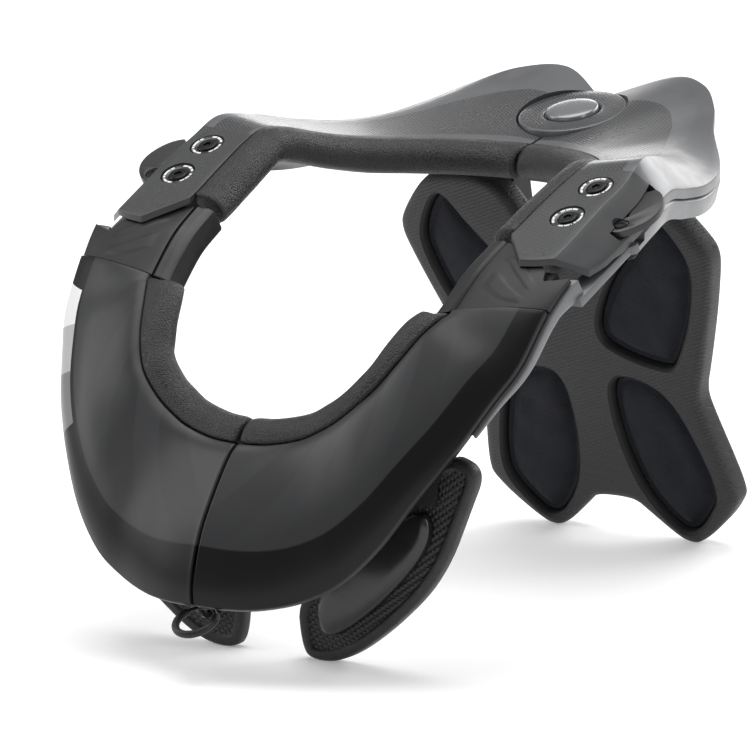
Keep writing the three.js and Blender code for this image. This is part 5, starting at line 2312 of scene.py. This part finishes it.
@dataclass
class ChestPads:
    """The chest pads: foam panel with a rim, a dimpled band and a raised smooth cap."""

    width: float = 100.0
    tall: float = 92.0
    near: float = 7.0
    back_y: float = 58.0
    wall: float = 7.0
    cap_wall: float = 4.0
    drop: float = -1.92

    def place(self, x: float, z: float, out: float) -> Vector:
        """A point by its way across, up, and out of the pad's back towards the front."""
        return Vector((x, self.back_y - out, z + self.drop))

    def scaled(self, outline: Sequence[Row]) -> list[Pair]:
        """An outline in millimetres."""
        return [(x * self.width + self.near, z * self.tall) for x, z in outline]

    def pad(self, side: Side) -> None:
        """Makes one foam panel.

        Args:
            side: the wearer's side.
        """
        edge = rounded(self.scaled(CHEST_OUTLINE), 3)
        w = self.wall
        wall = [(1.6, 0.0), (0.5, 0.5), (0.0, 1.6), (0.0, w - 1.8)]
        levels = [(0.0, w - 1.8), (0.5, w - 0.6), (1.5, w - 0.05), (3.6, w), (4.3, w - 0.25), (4.7, w - 0.9)]
        skin = mound(edge, wall, levels + [(5.2, w - 1.0)], self.place, band=4.7)
        made = Workshop.make(
            skin.on(side), "foam", f"chest_pad_{side.word}",
            [CHEST_FOAM, CHEST_MESH], Body.YOKE, Slot.FOAM, sharp=50
        )

    def cap(self, side: Side) -> None:
        """Makes the smooth raised cap of one pad.

        Args:
            side: the wearer's side.
        """
        edge = rounded(self.scaled(CAP_OUTLINE), 3)
        foot, low, w = self.wall - 0.9, self.wall + SIZES.gap, self.cap_wall
        rises = [(0.0, 0.35), (0.4, 0.58), (1.1, 0.76), (2.2, 0.9), (3.8, 0.97), (5.6, 1.0)]
        levels = [(inset, low + w * rise) for inset, rise in rises]
        skin = mound(edge, [(0.0, foot), (0.0, low + w * 0.35)], levels, self.place, spacing=1.6)
        Workshop.make(
            skin.on(side), "smooth", f"chest_cap_{side.word}",
            [CAP_PLASTIC], Body.YOKE, Slot.LINER, sharp=50
        )

    def build(self, frame: dict) -> None:
        """Builds the pads and caps of both sides, and dresses the hangers.

        Args:
            frame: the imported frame.
        """
        for side in Side:
            self.pad(side)
            self.cap(side)
            dress_node(frame, f"chest_hanger_{side.word}", FRAME_PLASTIC)


@dataclass
class PullRing:
    """The small ring under the front seam: a thin wire with a thick sleeve on most of it."""

    radius: float = 8.6
    sleeve: float = 1.6
    wire: float = 0.75
    droop: float = math.radians(28)
    eye_y: float = 8.6
    eye_z: float = 25.5
    reach: float = 8.2

    def arc(self, start: float, end: float, count: int) -> list[Vector]:
        """Points of the ring between two angles in degrees, 90 being at the eye.

        Args:
            start: first angle.
            end: last angle.
            count: steps between them.

        Returns:
            The points.
        """
        tilt = Matrix.Rotation(self.droop, 3, "X")
        centre = Vector((0.0, self.eye_y, self.eye_z)) - tilt @ Vector((0.0, self.reach, 0.0))
        flat = arc(0.0, 0.0, self.radius, math.radians(start), math.radians(end), count)
        return [centre + tilt @ Vector((x, y, 0)) for x, y in flat]

    def build(self, frame: dict) -> None:
        """Builds the ring, and dresses its eye.

        Args:
            frame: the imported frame.
        """
        made = Workshop.solid(tube(self.arc(-215, 35, 72), self.sleeve, 20), "sleeved_pull_ring")
        Workshop.finish(made, [SLEEVE_RUBBER], Body.YOKE, Slot.RING, ["pull_ring"], sharp=50)
        wire = Workshop.solid(tube(self.arc(30, 150, 40), self.wire, 14), "wire_pull_ring")
        Workshop.finish(wire, [SCREW_METAL], Body.YOKE, Slot.METAL, sharp=50)
        dress_node(frame, "ring_eye", SCREW_METAL)


@dataclass
class Studio:
    """Plain pale floor, soft studio lights and the camera."""

    azimuth: float = math.radians(36.4)
    elevation: float = math.radians(9.9)
    distance: float = 3500.0
    focus: float = 8400.0
    picture: float = 750.0
    anchor: Pair = (193.2, 604.6)
    aim: Triple = (0.0, 150.0, 80.0)
    sensor: float = 36.0
    pitch: float = math.radians(-1.787)
    lift: float = 28.68

    def camera(self) -> None:
        """Places the camera at the photograph's viewing angle."""
        a, e = self.azimuth, self.elevation
        right = Vector((math.cos(a), math.sin(a), 0.0))
        back = Vector((math.sin(a) * math.cos(e), -math.cos(a) * math.cos(e), math.sin(e)))
        up = back.cross(right)
        depth = self.distance + Vector(self.aim).dot(back)
        middle = self.picture / 2
        dx = (self.anchor[0] - middle) / self.focus * depth
        dy = (middle - self.anchor[1]) / self.focus * depth
        spot = back * depth - right * dx - up * dy
        turn = Matrix((right, up, back)).transposed().to_4x4()
        lifted = Matrix.Translation((0.0, 0.0, self.lift)) @ Matrix.Rotation(self.pitch, 4, "X")
        whole = SETTLE @ lifted @ Matrix.Translation(spot) @ turn
        place, rotation, _ = whole.decompose()
        lens = bpy.data.cameras.new("camera")
        lens.sensor_width = self.sensor
        lens.lens = self.focus / self.picture * self.sensor
        lens.clip_start = 0.1
        lens.clip_end = 60.0
        made = linked("camera", lens)
        made.matrix_world = Matrix.LocRotScale(place, rotation, None)
        bpy.context.scene.camera = made

    def floor(self) -> None:
        """Lays the pale floor."""
        mesh = bpy.data.meshes.new("floor")
        mesh.from_pydata([(-12, -12, 0), (12, -12, 0), (12, 30, 0), (-12, 30, 0)], [], [(0, 1, 2, 3)])
        graph = ShaderGraph("floor_pale")
        cloud = graph.noise(1.5, 2.0)
        colour = graph.blend(cloud, (0.86, 0.86, 0.86), (0.88, 0.88, 0.88))
        graph.settle(Emission_Color=(1.0, 1.0, 1.0, 1.0), Emission_Strength=0.22)
        graph.wear(colour, graph.spread(cloud, 0.75, 0.85), graph.relief(cloud, 0.01))
        mesh.materials.append(graph.material)
        linked("floor", mesh)

    def softbox(self, name: str, spot: Row, aim: Row, size: Row, power: float) -> None:
        """Hangs one soft light.

        Args:
            name: the light's name.
            spot: where it hangs.
            aim: the point that it faces.
            size: width and height.
            power: watts.
        """
        light = bpy.data.lights.new(name, "AREA")
        light.shape = "RECTANGLE"
        light.size, light.size_y = size
        light.energy = power
        made = linked(name, light)
        place = Vector(spot)
        made.location = place
        made.rotation_euler = (Vector(aim) - place).to_track_quat("-Z", "Y").to_euler()

    def build(self) -> None:
        """Sets up the whole studio."""
        self.camera()
        self.floor()
        world = bpy.data.worlds.new("studio_air")
        world.use_nodes = True
        world.node_tree.nodes["Background"].inputs["Color"].default_value = (1.0, 1.0, 1.0, 1.0)
        world.node_tree.nodes["Background"].inputs["Strength"].default_value = 0.36
        bpy.context.scene.world = world
        bpy.context.scene.view_settings.view_transform = "Standard"
        self.softbox("top_soft", (-0.1, 0.1, 1.5), (0, 0, 0.1), (1.3, 1.3), 19)
        self.softbox("left_soft", (-1.5, -0.7, 0.9), (0, 0, 0.1), (0.9, 1.4), 12)
        self.softbox("back_soft", (0.5, 1.7, 1.0), (0, 0.05, 0.15), (1.6, 0.8), 22)
        self.softbox("sheen_soft", (-0.9, 1.8, 0.55), (0, 0.1, 0.18), (1.5, 0.5), 6.5)
        self.softbox("right_soft", (1.7, -0.2, 0.7), (0, 0, 0.12), (0.5, 1.2), 6)


def main() -> None:
    """Builds the brace on its frame, and the studio round it."""
    logging.basicConfig(level=logging.INFO, format="%(name)s: %(message)s")
    for leftover in list(bpy.data.objects):
        bpy.data.objects.remove(leftover)
    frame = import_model()
    Studio().build()
    FrontBib().build(frame)
    SideBeams().build()
    RearYoke().build()
    RearHub().build()
    SideLatch().build()
    BackStabilizer().build(frame)
    ChestPads().build(frame)
    PullRing().build(frame)


if __name__ == "__main__":
    main()
